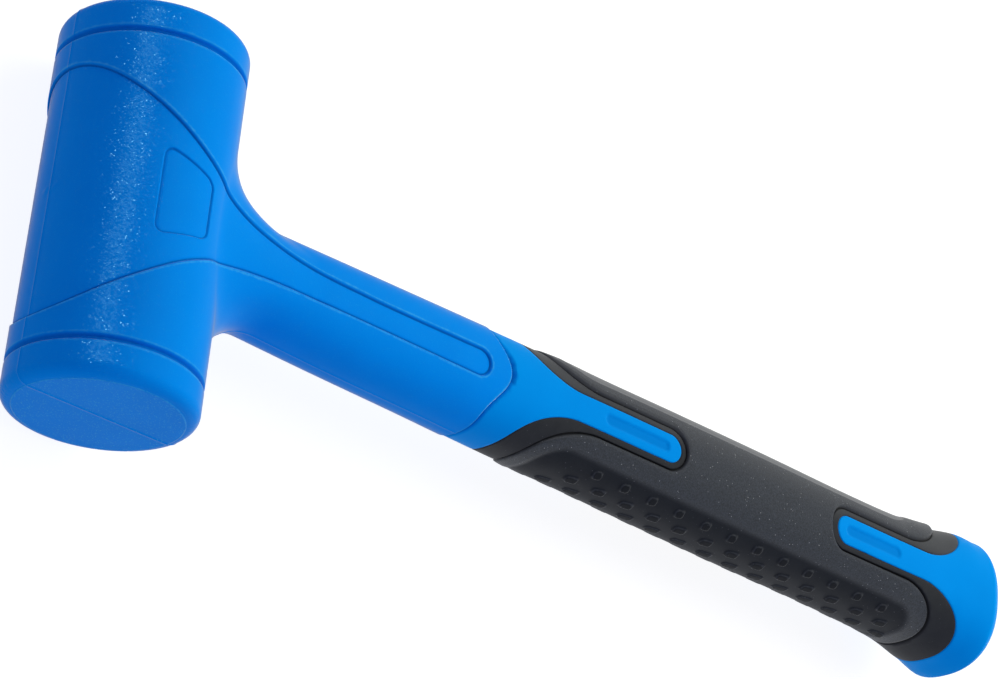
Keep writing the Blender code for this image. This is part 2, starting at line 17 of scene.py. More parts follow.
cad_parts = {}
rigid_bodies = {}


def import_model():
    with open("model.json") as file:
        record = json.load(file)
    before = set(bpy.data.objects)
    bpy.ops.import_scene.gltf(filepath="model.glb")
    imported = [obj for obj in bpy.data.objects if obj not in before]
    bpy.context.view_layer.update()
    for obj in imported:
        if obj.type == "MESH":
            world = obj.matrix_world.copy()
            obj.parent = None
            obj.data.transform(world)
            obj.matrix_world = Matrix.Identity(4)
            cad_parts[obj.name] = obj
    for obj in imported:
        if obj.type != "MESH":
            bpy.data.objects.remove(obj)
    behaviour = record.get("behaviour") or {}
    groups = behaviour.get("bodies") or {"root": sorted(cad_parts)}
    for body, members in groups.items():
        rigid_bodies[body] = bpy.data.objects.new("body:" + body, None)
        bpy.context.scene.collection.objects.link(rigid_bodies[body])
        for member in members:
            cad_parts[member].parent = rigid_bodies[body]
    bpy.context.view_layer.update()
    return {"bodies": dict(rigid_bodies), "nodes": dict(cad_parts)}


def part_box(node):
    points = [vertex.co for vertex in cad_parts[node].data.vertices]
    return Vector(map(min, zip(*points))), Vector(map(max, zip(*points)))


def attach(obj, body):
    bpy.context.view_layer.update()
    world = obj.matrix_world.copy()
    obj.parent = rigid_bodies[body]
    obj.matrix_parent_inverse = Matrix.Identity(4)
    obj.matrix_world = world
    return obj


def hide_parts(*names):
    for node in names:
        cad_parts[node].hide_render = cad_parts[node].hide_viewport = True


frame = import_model()

MM = 0.001
GAP = 0.3  # left between the core and the sleeve round it, and before the core's front end

# Of each relief, LEVELS are the distances from its outline along which triangles are split, a WALL is
# where its step starts and ends, a LINE is a crease beside it that gets painted shade and a LIP an edge
# that gets a painted highlight.
Line = namedtuple("Line", "middle half")

# Head and neck: sizes that the solids have too, within a millimetre, and the fine relief over them.
HEAD_RADIUS = 20.0
HEAD_HALF = 42.3
HEAD_RIM = 2.6
GROOVE_Y = 34.4
GROOVE_HALF = 0.8
GROOVE_DEPTH = 0.9
GROOVE_FLOOR = 0.25  # share of its half width that is level
GROOVE_LEVELS = tuple(share * GROOVE_HALF for share in (0.25, 0.5, 0.75, 1.0, 1.3))
GROOVE_LIP = Line(1.2 * GROOVE_HALF, 0.35)
NECK_ROOT = 8.0
NECK_FILLET = 15.0  # radius where the neck's upper and lower sides run into the head
FRONT_FILLET = 34.0  # and where its front and back do
STEEPEST_LEAN = 0.9  # limit for the cosine between the two normals, beyond which no fillet fits
FILLET_POWER = 4  # how fast the one turns into the other round the neck
NECK_SAG = 0.35  # how much lower the underside of the neck runs near the head
NECK_SAG_SPAN = (45.0, 85.0)  # where that runs out
NECK_STATIONS = ((30.0, 11.1, 10.5), (60.0, 12.05, 10.5), (97.0, 12.85, 11.2))
SKIRT_SIDE = 92.2
SKIRT_TIP = 97.0
SKIRT_TIP_HALF = 11.0
SKIRT_WALL = 2.4
SKIRT_ROUND = 0.4
SKIRT_LEVELS = (0.0, -0.12, -SKIRT_ROUND, -0.8)
SKIRT_LIP = Line(0.3, 0.4)
SKIRT_GAP = 0.8  # between the skirt and the core, at the sides
TIP_GAP = 1.5  # and at the tip, where the skirt stands off the handle
SOCKET_START = 86.0
RECESS_DEPTH = 0.5
# Along the recess: place, half width and how much lower its middle lies than the axis of the neck.
RECESS_EDGE = (
    (-21.0, 28.7, 0.55), (-18.5, 26.9, 0.55), (-11.8, 21.7, 0.55), (-1.5, 14.9, 0.55), (5.0, 11.4, 0.50),
    (12.4, 8.35, 0.15), (23.0, 5.4, 0.30), (38.0, 3.6, 0.0), (60.0, 3.1, 0.0), (87.6, 3.3, 0.0))
RECESS_FOOT = (-0.5, -0.14)  # where its upper and its lower wall reach its floor
RECESS_TOP = 0.16  # and where both reach the surface
RECESS_CREASE = 0.16  # depth of its line
RECESS_LINE = Line(-0.3, 0.3)
RECESS_LIP = Line(0.35, 0.35)
RECESS_LEVELS = (-0.62, -0.36, -0.24, -0.12, 0.02, 0.16, 0.4)
PLATE_DEPTH = 0.25
PLATE_CREASE = 0.14
PLATE_CORNERS = ((-6.2, 9.9), (7.3, 6.4))
PLATE_ROUND = 2.4
PLATE_WALL = (-0.12, 0.14)
PLATE_LINE = Line(-0.15, 0.35)
PLATE_LEVELS = (-0.52, -0.22, -0.08, 0.06, 0.2, 0.4)
FACE_RISE = 0.16
FACE_WALL = (-0.1, 0.1)
FACE_LIP = Line(-0.1, 0.3)
FACE_LEVELS = (-0.4, -0.1, 0.0, 0.1, 0.35)
FACE_GLINT_EDGE = (-0.3, 0.3)  # where the painted glints of the grains on the striking faces fade out
FLASH_HALF = 0.3  # half width and height of the thin line where the halves of the mould met
FLASH_RISE = 0.12
FLASH_LEVELS = (-FLASH_HALF, -0.12, 0.0, 0.12, FLASH_HALF)
PLATE_SHADE, GROOVE_SHADE = 0.7, 0.6  # how dark the painted shade in their lines is, beside the recess's
GROOVE_HIGHLIGHT, FLASH_HIGHLIGHT = 0.8, 0.5  # how strong the painted highlight on their edges is, beside the others
CREASE_FLAT = 0.2  # share of a fine line's half width that is level

# Blank of the head, and the size of its mesh.
VOXEL = 0.64
BLANK_TURNS = 96
BLANK_FILLET_END = 36.0
BLANK_STEPS = (30, 20)  # stations up to there and after it
BLANK_PAUSE = 2.0
BLANK_SPARE = 4.0  # how far its neck runs past the skirt
BLANK_FLARE = 0.5  # share of the fillet that its neck is wider by in the head
BLANK_FLARE_END = 1.6  # where that has run out, in radii of the head

# Handle: sizes that the solids have too, within a millimetre, and the fine relief over them.
SECTION_POWER = 2.4
HANDLE_STATIONS = (
    (84.0, 12.4, 10.6), (108.0, 12.7, 11.2), (126.0, 12.4, 11.8), (150.0, 12.7, 12.2),
    (180.0, 13.0, 12.5), (210.0, 12.9, 13.0), (228.0, 13.4, 13.4), (240.0, 14.9, 13.8),
    (248.0, 16.5, 14.7), (256.0, 17.45, 15.6))
DOME_START = HANDLE_STATIONS[-1][0]
BUTT_END = 265.2
BUTT_DROP = 0.85  # how much the end of the handle hangs down
BUTT_DROP_START = 249.0
DOME_POWER = 1.4
DOME_CROWN = 2.1
DOME_LIFT = 0.9  # how much the crown of the dome comes up again
DOME_RINGS = 40
CORE_START = SOCKET_START + GAP
TUCK_WALL = (-0.7, -0.5)  # where the core steps down into the socket, behind the skirt's edge
TUCK_START = (0.1, 1.0)  # where it comes up again past that edge, at the sides and at the tip
TUCK_LEVELS = (-0.7, -0.5, 0.0, 0.2, SKIRT_GAP, TIP_GAP)
TIP_MIDDLE = 2.0  # height on the handle at which the skirt's tip stands off most
TIP_SPREAD = (1.5, 5.5)
SLOT_DEPTH = 0.35
SLOT_HALF = 1.5
SLOTS = ((125.0, 145.2), (204.2, 223.5))
SLOT_WALL = (-0.7, 0.25)
SLOT_LEVELS = (-0.9, -0.5, -0.1, 0.3)
# how dark the slots' painted shade is, beside that of the gap under the skirt
SLOT_SHADE = 0.4
Edge = namedtuple("Edge", "tip tongue flare rim rim_half power")
FRONT_WINDOW = Edge(148.8, 3.45, 118.0, 100.0, 16.0, 1.78)
REAR_WINDOW = Edge(201.4, 3.65, 232.0, 248.4, 18.5, 2.0)
FRONT_PAD = Edge(150.4, 5.1, 124.0, 105.6, 17.0, 1.78)
REAR_PAD = Edge(199.0, 5.3, 226.0, 239.8, 17.5, 2.0)
SLEEVE_WALL = 2.4
SLEEVE_SPAN = (98.0, 252.0)
SEAM_ROUND = 0.3  # width of the rolled edges where sleeve and core meet
SLEEVE_LEVELS = (0.0, 0.1, SEAM_ROUND, 0.6)
SEAM_DROP = 0.1  # width of the step that the core makes under the sleeve
SEAM_LEVELS = (-0.8, -SEAM_ROUND, -0.15, 0.0, SEAM_DROP)
CORE_ROLL = 0.2  # depth of the rolled edge on the core
SLEEVE_ROLL = 0.25  # and on the sleeve
LOWER_SIDE = (-0.3, 0.3)  # how far down the sleeve its lower half begins and is full, of 1
UPPER_SIDE = (0.0, 0.5)  # and how far up its upper half does
PAD_RISE = 0.8
PAD_STEEP = 0.7  # share of the rise that the pad's wall takes, and its shoulder the rest
PAD_WALL = (0.05, 0.3)
PAD_SHOULDER = (0.2, 0.9)
PAD_FRONT = (101.0, 118.0)  # where the pad comes up to its full rise
PAD_FADE = (223.0, 239.0)  # and where its lower half runs out
PAD_SWELL = 0.4  # share of the rise that the upper end of the pad has more
PAD_SWELL_START = (226.0, 232.0)
PAD_GROOVE = 0.55
PAD_GROOVE_HALF = 0.28
PAD_GROOVE_MORE = 0.22  # how much wider the groove is under the rear end of the pad
PAD_GROOVE_START = (212.0, 232.0)
PAD_LEVELS = (-0.5, -0.3, -0.16, 0.0, 0.14, 0.3, 0.5, 0.9)
PALM_SINK = 0.12  # depth of the smooth strip along the top of the pad
PALM_HALF = 12.4
PALM_SPAN = (112.0, 231.5)
PALM_ROUND = 11.0
PALM_WALL = (-0.4, 0.0)
PALM_LEVELS = (-0.4, -0.2, 0.0)
BELLY_SINK = 0.3  # depth of the field that holds the studs
BELLY_HALF = 10.6
BELLY_SPAN = (111.0, 235.0)
BELLY_ROUND = 8.0
BELLY_WALL = (-1.4, 0.5)
BELLY_LEVELS = (-1.4, -0.5, 0.5)
STUD_PITCH = 8.68
STUD_SHIFT = 3.95  # how much later each row starts than the one before
Row = namedtuple("Row", "angle count length rise")
STUD_ROWS = (
    Row(211.0, 14, 3.9, 0.1), Row(190.0, 14, 3.9, 0.5),
    Row(168.5, 13, 3.4, 0.7), Row(149.0, 12, 2.5, 0.7))
STUD_START = 116.4
STUD_WIDTH = 2.4
STUD_LEVEL = 0.8  # share of its rise that the middle of a stud has
STUD_LEAN = -0.25  # what its edge towards the front has more: below 0, so that edge stands lower
STUD_ROUND = 0.8
STUD_WALL = (-0.3, 0.2)
STUD_TOP = (-0.45, -0.15)
# band round each stud that gets a painted highlight
STUD_RIM = Line(-0.15, 0.3)
STUD_LEVELS = (-0.45, -0.15, 0.1, 0.35)
STUD_SHADE = 0.45  # how much painted shade darkens its top
STUD_SLANT = math.radians(14.0)
MEAN_RADIUS = 13.4  # of the grip, to turn an angle round it into a length

HANDLE_STEP = 0.8
TURNS = 112
SNAP = 0.03  # a point this near to a level counts as on it
TOUCH = 0.01  # and this near to the front end counts as on that
WELD = 0.02  # points nearer than this become one
SLIVER = 0.005  # and edges shorter than this go

HEAD_CENTRE = Vector((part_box("head_shell")[0].x + HEAD_RADIUS * MM, 0.0, HEAD_RADIUS * MM))


def at_station(stations, x, column):
    """Smooth curve through the stations' values, level with the slope of its neighbours."""
    table = np.array(stations)
    place, value = table[:, 0], table[:, column]
    order = np.arange(len(place))
    before, after = np.maximum(order - 1, 0), np.minimum(order + 1, len(place) - 1)
    slope = (value[after] - value[before]) / (place[after] - place[before])
    x = np.clip(x, place[0], place[-1])
    low = np.clip(np.searchsorted(place, x, side="right") - 1, 0, len(place) - 2)
    length = place[low + 1] - place[low]
    t = (x - place[low]) / length
    level = value[low] * (1 + 2 * t) * (1 - t) ** 2 + value[low + 1] * t * t * (3 - 2 * t)
    return level + length * (slope[low] * t * (1 - t) ** 2 - slope[low + 1] * t * t * (1 - t))


def ease(value, low, high):
    """0 below low, 1 above high, and a smooth rise between them."""
    t = np.clip((value - low) / (high - low), 0.0, 1.0)
    return t * t * (3 - 2 * t)


def neck_sizes(x, side):
    """Half height and half thickness of the plain neck, on its upper or its lower side."""
    sag = NECK_SAG * (1 - ease(x, *NECK_SAG_SPAN))
    height = at_station(NECK_STATIONS, x, 1) + np.where(side < 0, sag, 0.0)
    return height, at_station(NECK_STATIONS, x, 2)


def handle_sizes(x):
    return at_station(HANDLE_STATIONS, x, 1), at_station(HANDLE_STATIONS, x, 2)


def section(x, turn, height, thickness):
    """Points of a superellipse across the handle, at an angle from +Y."""
    across, up = np.cos(turn), np.sin(turn)
    reach = (np.abs(across) / height) ** SECTION_POWER + (np.abs(up) / thickness) ** SECTION_POWER
    radius = reach ** (-1 / SECTION_POWER)
    return np.stack([x + 0 * turn, radius * across, radius * up], axis=-1)


# Meshes are arrays of points and of triangles, split along the lines of a relief before it is raised.

def strip(rows, columns, closed):
    """Triangles of a grid of points, whose rows close on themselves or not."""
    index = np.arange(rows * columns).reshape(rows, columns)
    after = np.roll(index, -1, axis=1) if closed else index[:, 1:]
    here = index if closed else index[:, :-1]
    low, next_low, high, next_high = here[:-1], after[:-1], here[1:], after[1:]
    first = np.stack([low, next_low, next_high], axis=-1).reshape(-1, 3)
    second = np.stack([low, next_high, high], axis=-1).reshape(-1, 3)
    return np.concatenate([first, second])


def cut(points, faces, value):
    """Splits the triangles along the zero level of the values given at the points."""
    value = np.where(np.abs(value) < SNAP, 0.0, value)
    side = np.sign(value)
    ahead = np.roll(faces, -1, axis=1)
    crossed = side[faces] * side[ahead] < 0
    if not crossed.any():
        return points, faces
    ends = np.sort(np.stack([faces[crossed], ahead[crossed]], axis=1), axis=1)
    edges, place = np.unique(ends, axis=0, return_inverse=True)
    start, end = edges.T
    share = (value[start] / (value[start] - value[end]))[:, None]
    added = points[start] + share * (points[end] - points[start])
    middle = np.full(faces.shape, -1)
    middle[crossed] = len(points) + place.reshape(-1)

    def turned(rows, first):
        """Corners and edge middles of those triangles, starting from the corner named."""
        order = (first[:, None] + np.arange(3)) % 3
        return np.take_along_axis(faces[rows], order, 1).T, np.take_along_axis(middle[rows], order, 1).T

    count = crossed.sum(axis=1)
    once = np.flatnonzero(count == 1)
    (a, b, c), (_, opposite, _) = turned(once, (np.argmax(crossed[once], axis=1) + 2) % 3)
    parts = [faces[count == 0], np.stack([a, b, opposite], 1), np.stack([a, opposite, c], 1)]
    twice = np.flatnonzero(count == 2)
    (a, b, c), (near, _, far) = turned(twice, (np.argmin(crossed[twice], axis=1) + 2) % 3)
    parts += [np.stack([a, near, far], 1), np.stack([near, b, c], 1), np.stack([near, c, far], 1)]
    return np.concatenate([points, added]), np.concatenate(parts)


def cut_along(points, faces, *lines):
    """Splits the triangles along levels of several fields, one after the other."""
    for field, levels in lines:
        for level in levels:
            points, faces = cut(points, faces, field(points) - level)
    return points, faces


def keep(points, faces, value):
    """Only the triangles on the side where the values are positive, and the points they use."""
    faces = faces[value[faces].mean(axis=1) > 0]
    used, faces = np.unique(faces, return_inverse=True)
    return points[used], faces.reshape(-1, 3)


def border(faces):
    """Directed edges that only one triangle has."""
    edges = np.concatenate([faces[:, [0, 1]], faces[:, [1, 2]], faces[:, [2, 0]]])
    _, place, count = np.unique(np.sort(edges, axis=1), axis=0, return_inverse=True, return_counts=True)
    return edges[count[place.reshape(-1)] == 1]


def wall(edges, shift):
    """Triangles from edges to the same edges of points that come later by the shift."""
    start, end = edges.T
    first = np.stack([end, start, start + shift], axis=1)
    second = np.stack([end, start + shift, end + shift], axis=1)
    return np.concatenate([first, second])


def corner_normals(points, faces):
    """Normals at the points, from the areas of the triangles round each."""
    a, b, c = (points[faces[:, corner]] for corner in range(3))
    area = np.cross(b - a, c - a)
    normals = np.zeros_like(points)
    for corner in range(3):
        np.add.at(normals, faces[:, corner], area)
    return normals / np.maximum(np.linalg.norm(normals, axis=1), 1e-12)[:, None]


def new_object(name, points, faces, material, attributes):
    """Object in the frame, in metres, with its points' attributes, riding on the hammer."""
    mesh = bpy.data.meshes.new(name)
    mesh.from_pydata((points * MM + np.array(HEAD_CENTRE)).tolist(), [], faces.tolist())
    for label, values in attributes.items():
        mesh.attributes.new(label, "FLOAT", "POINT").data.foreach_set("value", values.astype(np.float32))
    shape = bmesh.new()
    shape.from_mesh(mesh)
    bmesh.ops.remove_doubles(shape, verts=shape.verts, dist=WELD * MM)
    bmesh.ops.dissolve_degenerate(shape, edges=shape.edges, dist=SLIVER * MM)
    bmesh.ops.recalc_face_normals(shape, faces=shape.faces)
    shape.to_mesh(mesh)
    shape.free()
    mesh.shade_smooth()
    mesh.materials.append(material)
    thing = bpy.data.objects.new(name, mesh)
    bpy.context.scene.collection.objects.link(thing)
    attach(thing, "hammer")
    return thing


# Head shell.

def barrel_distance(points):
    across = np.hypot(points[:, 0], points[:, 2]) - (HEAD_RADIUS - HEAD_RIM)
    along = np.abs(points[:, 1]) - (HEAD_HALF - HEAD_RIM)
    outside = np.hypot(np.maximum(across, 0.0), np.maximum(along, 0.0))
    return outside + np.minimum(np.maximum(across, along), 0.0) - HEAD_RIM


def neck_distance(points):
    """Distance from the plain neck, towards its axis, and the Z part of its normal."""
    x, y, z = points.T
    height, thickness = neck_sizes(x, y)
    across, up = np.abs(y) / height, np.abs(z) / thickness
    reach = np.maximum(across ** SECTION_POWER + up ** SECTION_POWER, 1e-6) ** (1 / SECTION_POWER)
    slope_y = across ** (SECTION_POWER - 1) / height
    slope_z = up ** (SECTION_POWER - 1) / thickness
    normal_z = np.sign(z) * slope_z / np.maximum(np.hypot(slope_y, slope_z), 1e-6)
    return np.maximum(np.hypot(y, z) * (1 - 1 / reach), NECK_ROOT - x), normal_z


def head_distance(points):
    """Distance from the barrel and the neck, with a round fillet wherever they meet."""
    barrel = barrel_distance(points)
    neck, normal_z = neck_distance(points)
    fillet = NECK_FILLET + (FRONT_FILLET - NECK_FILLET) * normal_z ** FILLET_POWER
    lean = points[:, 2] / np.maximum(np.hypot(points[:, 0], points[:, 2]), 1e-6) * normal_z
    lean = np.clip(lean, -STEEPEST_LEAN, STEEPEST_LEAN)
    u, v = fillet - barrel, fillet - neck
    between = (u > lean * v) & (v > lean * u) & (u > 0) & (v > 0)
    spread = np.sqrt((u * u + v * v - 2 * lean * u * v) / (1 - lean * lean))
    return np.where(between, fillet - spread, np.minimum(barrel, neck))


def settle(points, field, rounds=6, probe=0.01, flattest=0.1, longest=1.0):
    """Moves points along the field's slope onto its zero level, in steps of a limited length."""
    for _ in range(rounds):
        value = field(points)
        slope = np.stack([(field(points + step) - value) / probe for step in probe * np.eye(3)], axis=1)
        steepness = np.maximum((slope ** 2).sum(axis=1), flattest)
        points = points - np.clip(value / steepness, -longest, longest)[:, None] * slope
    return points


def capped(rings):
    """Points and faces of a closed body through rings of points."""
    count, around = rings.shape[:2]
    faces = strip(count, around, True).tolist()
    last = (count - 1) * around
    faces += [list(range(around))[::-1], list(range(last, last + around))]
    return rings.reshape(-1, 3).tolist(), faces


def head_blank():
    """Even mesh over the barrel and the neck together, without relief, as points and quads."""
    turn = np.linspace(0, 2 * np.pi, BLANK_TURNS, endpoint=False)
    circle = np.stack([np.sin(turn), 0 * turn, np.cos(turn)], axis=1)
    heights = (-HEAD_HALF, -HEAD_HALF + HEAD_RIM, HEAD_HALF - HEAD_RIM, HEAD_HALF)
    radii = (HEAD_RADIUS - HEAD_RIM, HEAD_RADIUS, HEAD_RADIUS, HEAD_RADIUS - HEAD_RIM)
    barrel = [radius * circle + (0.0, y, 0.0) for y, radius in zip(heights, radii)]
    stations = np.concatenate([
        np.linspace(NECK_ROOT, BLANK_FILLET_END, BLANK_STEPS[0]),
        np.linspace(BLANK_FILLET_END + BLANK_PAUSE, SKIRT_TIP + BLANK_SPARE, BLANK_STEPS[1])])
    into_head = np.clip(BLANK_FLARE_END - stations / HEAD_RADIUS, 0.0, 1.0)
    flare = BLANK_FLARE * NECK_FILLET * into_head ** 2
    neck = []
    for x, more in zip(stations, flare):
        height, thickness = neck_sizes(x, np.cos(turn))
        neck.append(section(x, turn, height + more, thickness))
    shape = bpy.data.meshes.new("head_blank")
    points, faces = capped(np.array(barrel))
    more_points, more_faces = capped(np.array(neck))
    faces += [[index + len(points) for index in face] for face in more_faces]
    shape.from_pydata(points + more_points, [], faces)
    thing = bpy.data.objects.new("head_blank", shape)
    bpy.context.scene.collection.objects.link(thing)
    remesh = thing.modifiers.new("even", "REMESH")
    remesh.mode = "VOXEL"
    remesh.voxel_size = VOXEL
    graph = bpy.context.evaluated_depsgraph_get()
    mesh = thing.evaluated_get(graph).to_mesh()
    points = np.empty(len(mesh.vertices) * 3)
    mesh.vertices.foreach_get("co", points)
    corners = np.empty(len(mesh.loops), int)
    mesh.loops.foreach_get("vertex_index", corners)
    bpy.data.objects.remove(thing, do_unlink=True)
    return points.reshape(-1, 3), corners.reshape(-1, 4)


def even_out(points, quads, rounds=3):
    """Moves the points half way to the middle of their neighbours, keeping them on the head."""
    start, end = quads.reshape(-1), np.roll(quads, -1, axis=1).reshape(-1)
    count = np.bincount(start, minlength=len(points))[:, None]
    for _ in range(rounds):
        total = np.zeros_like(points)
        np.add.at(total, start, points[end])
        points = settle(points + 0.5 * (total / count - points), head_distance, 2)
    return points


def recess_distance(points):
    """Distance on the surface from the edge of the flowing recess, positive outside it."""
    x = points[:, 0]
    y = np.abs(points[:, 1] + at_station(RECESS_EDGE, x, 2))
    end, end_half, _ = RECESS_EDGE[-1]
    probe = 0.05
    width = at_station(RECESS_EDGE, x, 1)
    ahead, behind = at_station(RECESS_EDGE, x + probe, 1), at_station(RECESS_EDGE, x - probe, 1)
    narrowing = (ahead - behind) / (2 * probe)
    # Square of what a step on the surface runs along X: less round the barrel, all on the neck.
    on_barrel = np.clip(1 - (x / HEAD_RADIUS) ** 2, 0.0, 1.0)
    run = np.maximum(on_barrel, ease(x, HEAD_RADIUS / 2, HEAD_RADIUS))
    along = (y - width) / np.sqrt(1 + narrowing ** 2 * run)
    return np.where(x > end, np.hypot(x - end, y) - end_half, along)


def rounded_box(x, y, half_x, half_y, radius):
    """Signed distance from a rectangle with round corners, about its middle."""
    over_x, over_y = np.abs(x) - half_x + radius, np.abs(y) - half_y + radius
    outside = np.hypot(np.maximum(over_x, 0.0), np.maximum(over_y, 0.0))
    return outside + np.minimum(np.maximum(over_x, over_y), 0.0) - radius


def plate_distance(points):
    """Distance from the outline of the bare sunk field on the front of the head."""
    (left, tall), (right, low) = PLATE_CORNERS
    x, y = points[:, 0], points[:, 1]
    share = np.clip((x - left) / (right - left), 0.0, 1.0)
    half = tall + (low - tall) * share
    middle = (left + right) / 2
    flat = rounded_box(x - middle, y * tall / half, (right - left) / 2, tall, PLATE_ROUND)
    return np.where(points[:, 2] > 0, flat, HEAD_RADIUS)


def groove_distance(points):
    ring = np.abs(np.abs(points[:, 1]) - GROOVE_Y)
    return np.where(np.hypot(points[:, 0], points[:, 2]) > HEAD_RADIUS - HEAD_RIM, ring, HEAD_RADIUS)


def skirt_distance(points):
    """Distance from the rounded chevron where the neck ends, positive beyond it."""
    share = np.clip(np.abs(points[:, 1]) / SKIRT_TIP_HALF, 0.0, 1.0)
    rise = SKIRT_TIP - SKIRT_SIDE
    edge = SKIRT_SIDE + rise * np.cos(np.pi / 2 * share) ** 2
    slope = rise * np.pi / 2 * np.sin(np.pi * share) / SKIRT_TIP_HALF
    return (points[:, 0] - edge) / np.sqrt(1 + slope ** 2)


def face_distance(points):
    """Distance from the edge of the two flat striking faces, negative within them."""
    ring = np.hypot(points[:, 0], points[:, 2]) - (HEAD_RADIUS - HEAD_RIM)
    return np.where(np.abs(points[:, 1]) > HEAD_HALF - HEAD_RIM, ring, HEAD_RADIUS)


def over_parting(points):
    """Height over the plane in which the halves of the mould met."""
    return points[:, 2]


def crease(distance, line):
    """1 in the middle of a fine line beside an edge, 0 outside it."""
    return 1 - ease(np.abs(distance - line.middle), CREASE_FLAT * line.half, line.half)


def within(distance, wall):
    """1 inside an outline, 0 outside it, and a smooth wall between."""
    return 1 - ease(distance, *wall)


def head_relief(points):
    """How far the head stands out, with painted shade for its creases, painted highlights for its edges,
    and its faces.
    """
    ring, recess, plate = groove_distance(points), recess_distance(points), plate_distance(points)
    face, skirt = face_distance(points), -skirt_distance(points)
    groove = within(ring, (GROOVE_FLOOR * GROOVE_HALF, GROOVE_HALF))
    flash = within(np.abs(over_parting(points)), (0.0, FLASH_HALF)) * (1 - groove)
    recess_line, plate_line = crease(recess, RECESS_LINE), crease(plate, PLATE_LINE)
    foot = np.where(points[:, 1] > 0, *RECESS_FOOT)
    sunk = RECESS_DEPTH * within(recess, (foot, RECESS_TOP)) + RECESS_CREASE * recess_line
    sunk += PLATE_DEPTH * within(plate, PLATE_WALL) + PLATE_CREASE * plate_line
    sunk += GROOVE_DEPTH * groove + SKIRT_ROUND * within(skirt, (0.0, SKIRT_ROUND)) ** 2
    relief = FLASH_RISE * flash + FACE_RISE * within(face, FACE_WALL) - sunk
    # Painted shade goes into the recess's line, the plate's line and the groove.
    lines = np.maximum.reduce([recess_line, PLATE_SHADE * plate_line, GROOVE_SHADE * groove])
    # Painted highlights go onto the lips of the recess, faces and skirt, the groove's edge and the mould
    # line.
    edges = np.maximum.reduce([
        crease(recess, RECESS_LIP), crease(face, FACE_LIP), crease(skirt, SKIRT_LIP),
        GROOVE_HIGHLIGHT * crease(ring, GROOVE_LIP), FLASH_HIGHLIGHT * flash])
    return relief, {"crease": lines, "edge": edges, "face": within(face, FACE_GLINT_EDGE)}


def make_head(material):
    points, quads = head_blank()
    points = settle(points, head_distance)
    points = even_out(points, quads)
    faces = np.concatenate([quads[:, [0, 1, 2]], quads[:, [0, 2, 3]]])
    points, faces = cut_along(points, faces, (skirt_distance, SKIRT_LEVELS))
    points, faces = keep(points, faces, -skirt_distance(points))
    points, faces = cut_along(
        points, faces, (recess_distance, RECESS_LEVELS), (plate_distance, PLATE_LEVELS),
        (groove_distance, GROOVE_LEVELS), (face_distance, FACE_LEVELS), (over_parting, FLASH_LEVELS))
    normals = corner_normals(points, faces)
    relief, looks = head_relief(points)
    points = points + relief[:, None] * normals

    # The skirt's edge turns in by its wall and runs back to the floor of the socket.
    rim = border(faces)
    count = len(points)
    radius = np.hypot(points[:, 1], points[:, 2])[:, None]
    inner = points * (1, 0, 0) + points * (0, 1, 1) * (1 - SKIRT_WALL / np.maximum(radius, SKIRT_WALL))
    deep = inner * (0, 1, 1) + (SOCKET_START, 0, 0)
    hub = np.array([[SOCKET_START, 0.0, 0.0]])
    floor = np.stack([rim[:, 1] + 2 * count, rim[:, 0] + 2 * count, np.full(len(rim), 3 * count)], axis=1)
    faces = np.concatenate([faces, wall(rim, count), wall(rim + count, count), floor])
    points = np.concatenate([points, inner, deep, hub])
    bare = np.zeros(2 * count + 1)
    used, faces = np.unique(faces, return_inverse=True)
    looks = {label: np.concatenate([values, bare])[used] for label, values in looks.items()}
    head = new_object("head_moulding", points[used], faces.reshape(-1, 3), material, looks)
    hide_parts("head_shell")


# Handle core and grip sleeve: both are drawn on the flat, as (x, angle round the handle).

def butt_drop(x):
    return BUTT_DROP * ease(x, BUTT_DROP_START, DOME_START)


def on_handle(flat, offset):
    x, turn = flat.T
    height, thickness = handle_sizes(x)
    place = section(x, turn, height + offset, thickness + offset)
    place[:, 1] -= butt_drop(x)
    return place


def edge_line(edge, count=48):
    """Points of one half of a window's edge in plan, from the side of the handle to the tip."""
    sign = math.copysign(1, edge.tip - edge.flare)
    turn = np.linspace(0, np.pi / 2, count)
    x = edge.flare + (edge.rim - edge.flare) * np.cos(turn) ** (2 / edge.power)
    y = edge.rim_half - (edge.rim_half - edge.tongue) * np.sin(turn) ** (2 / edge.power)
    tip_x = edge.tip - sign * edge.tongue * (1 - np.sin(turn))
    return np.concatenate([np.stack([x, y], 1), np.stack([tip_x, edge.tongue * np.cos(turn)], 1)])


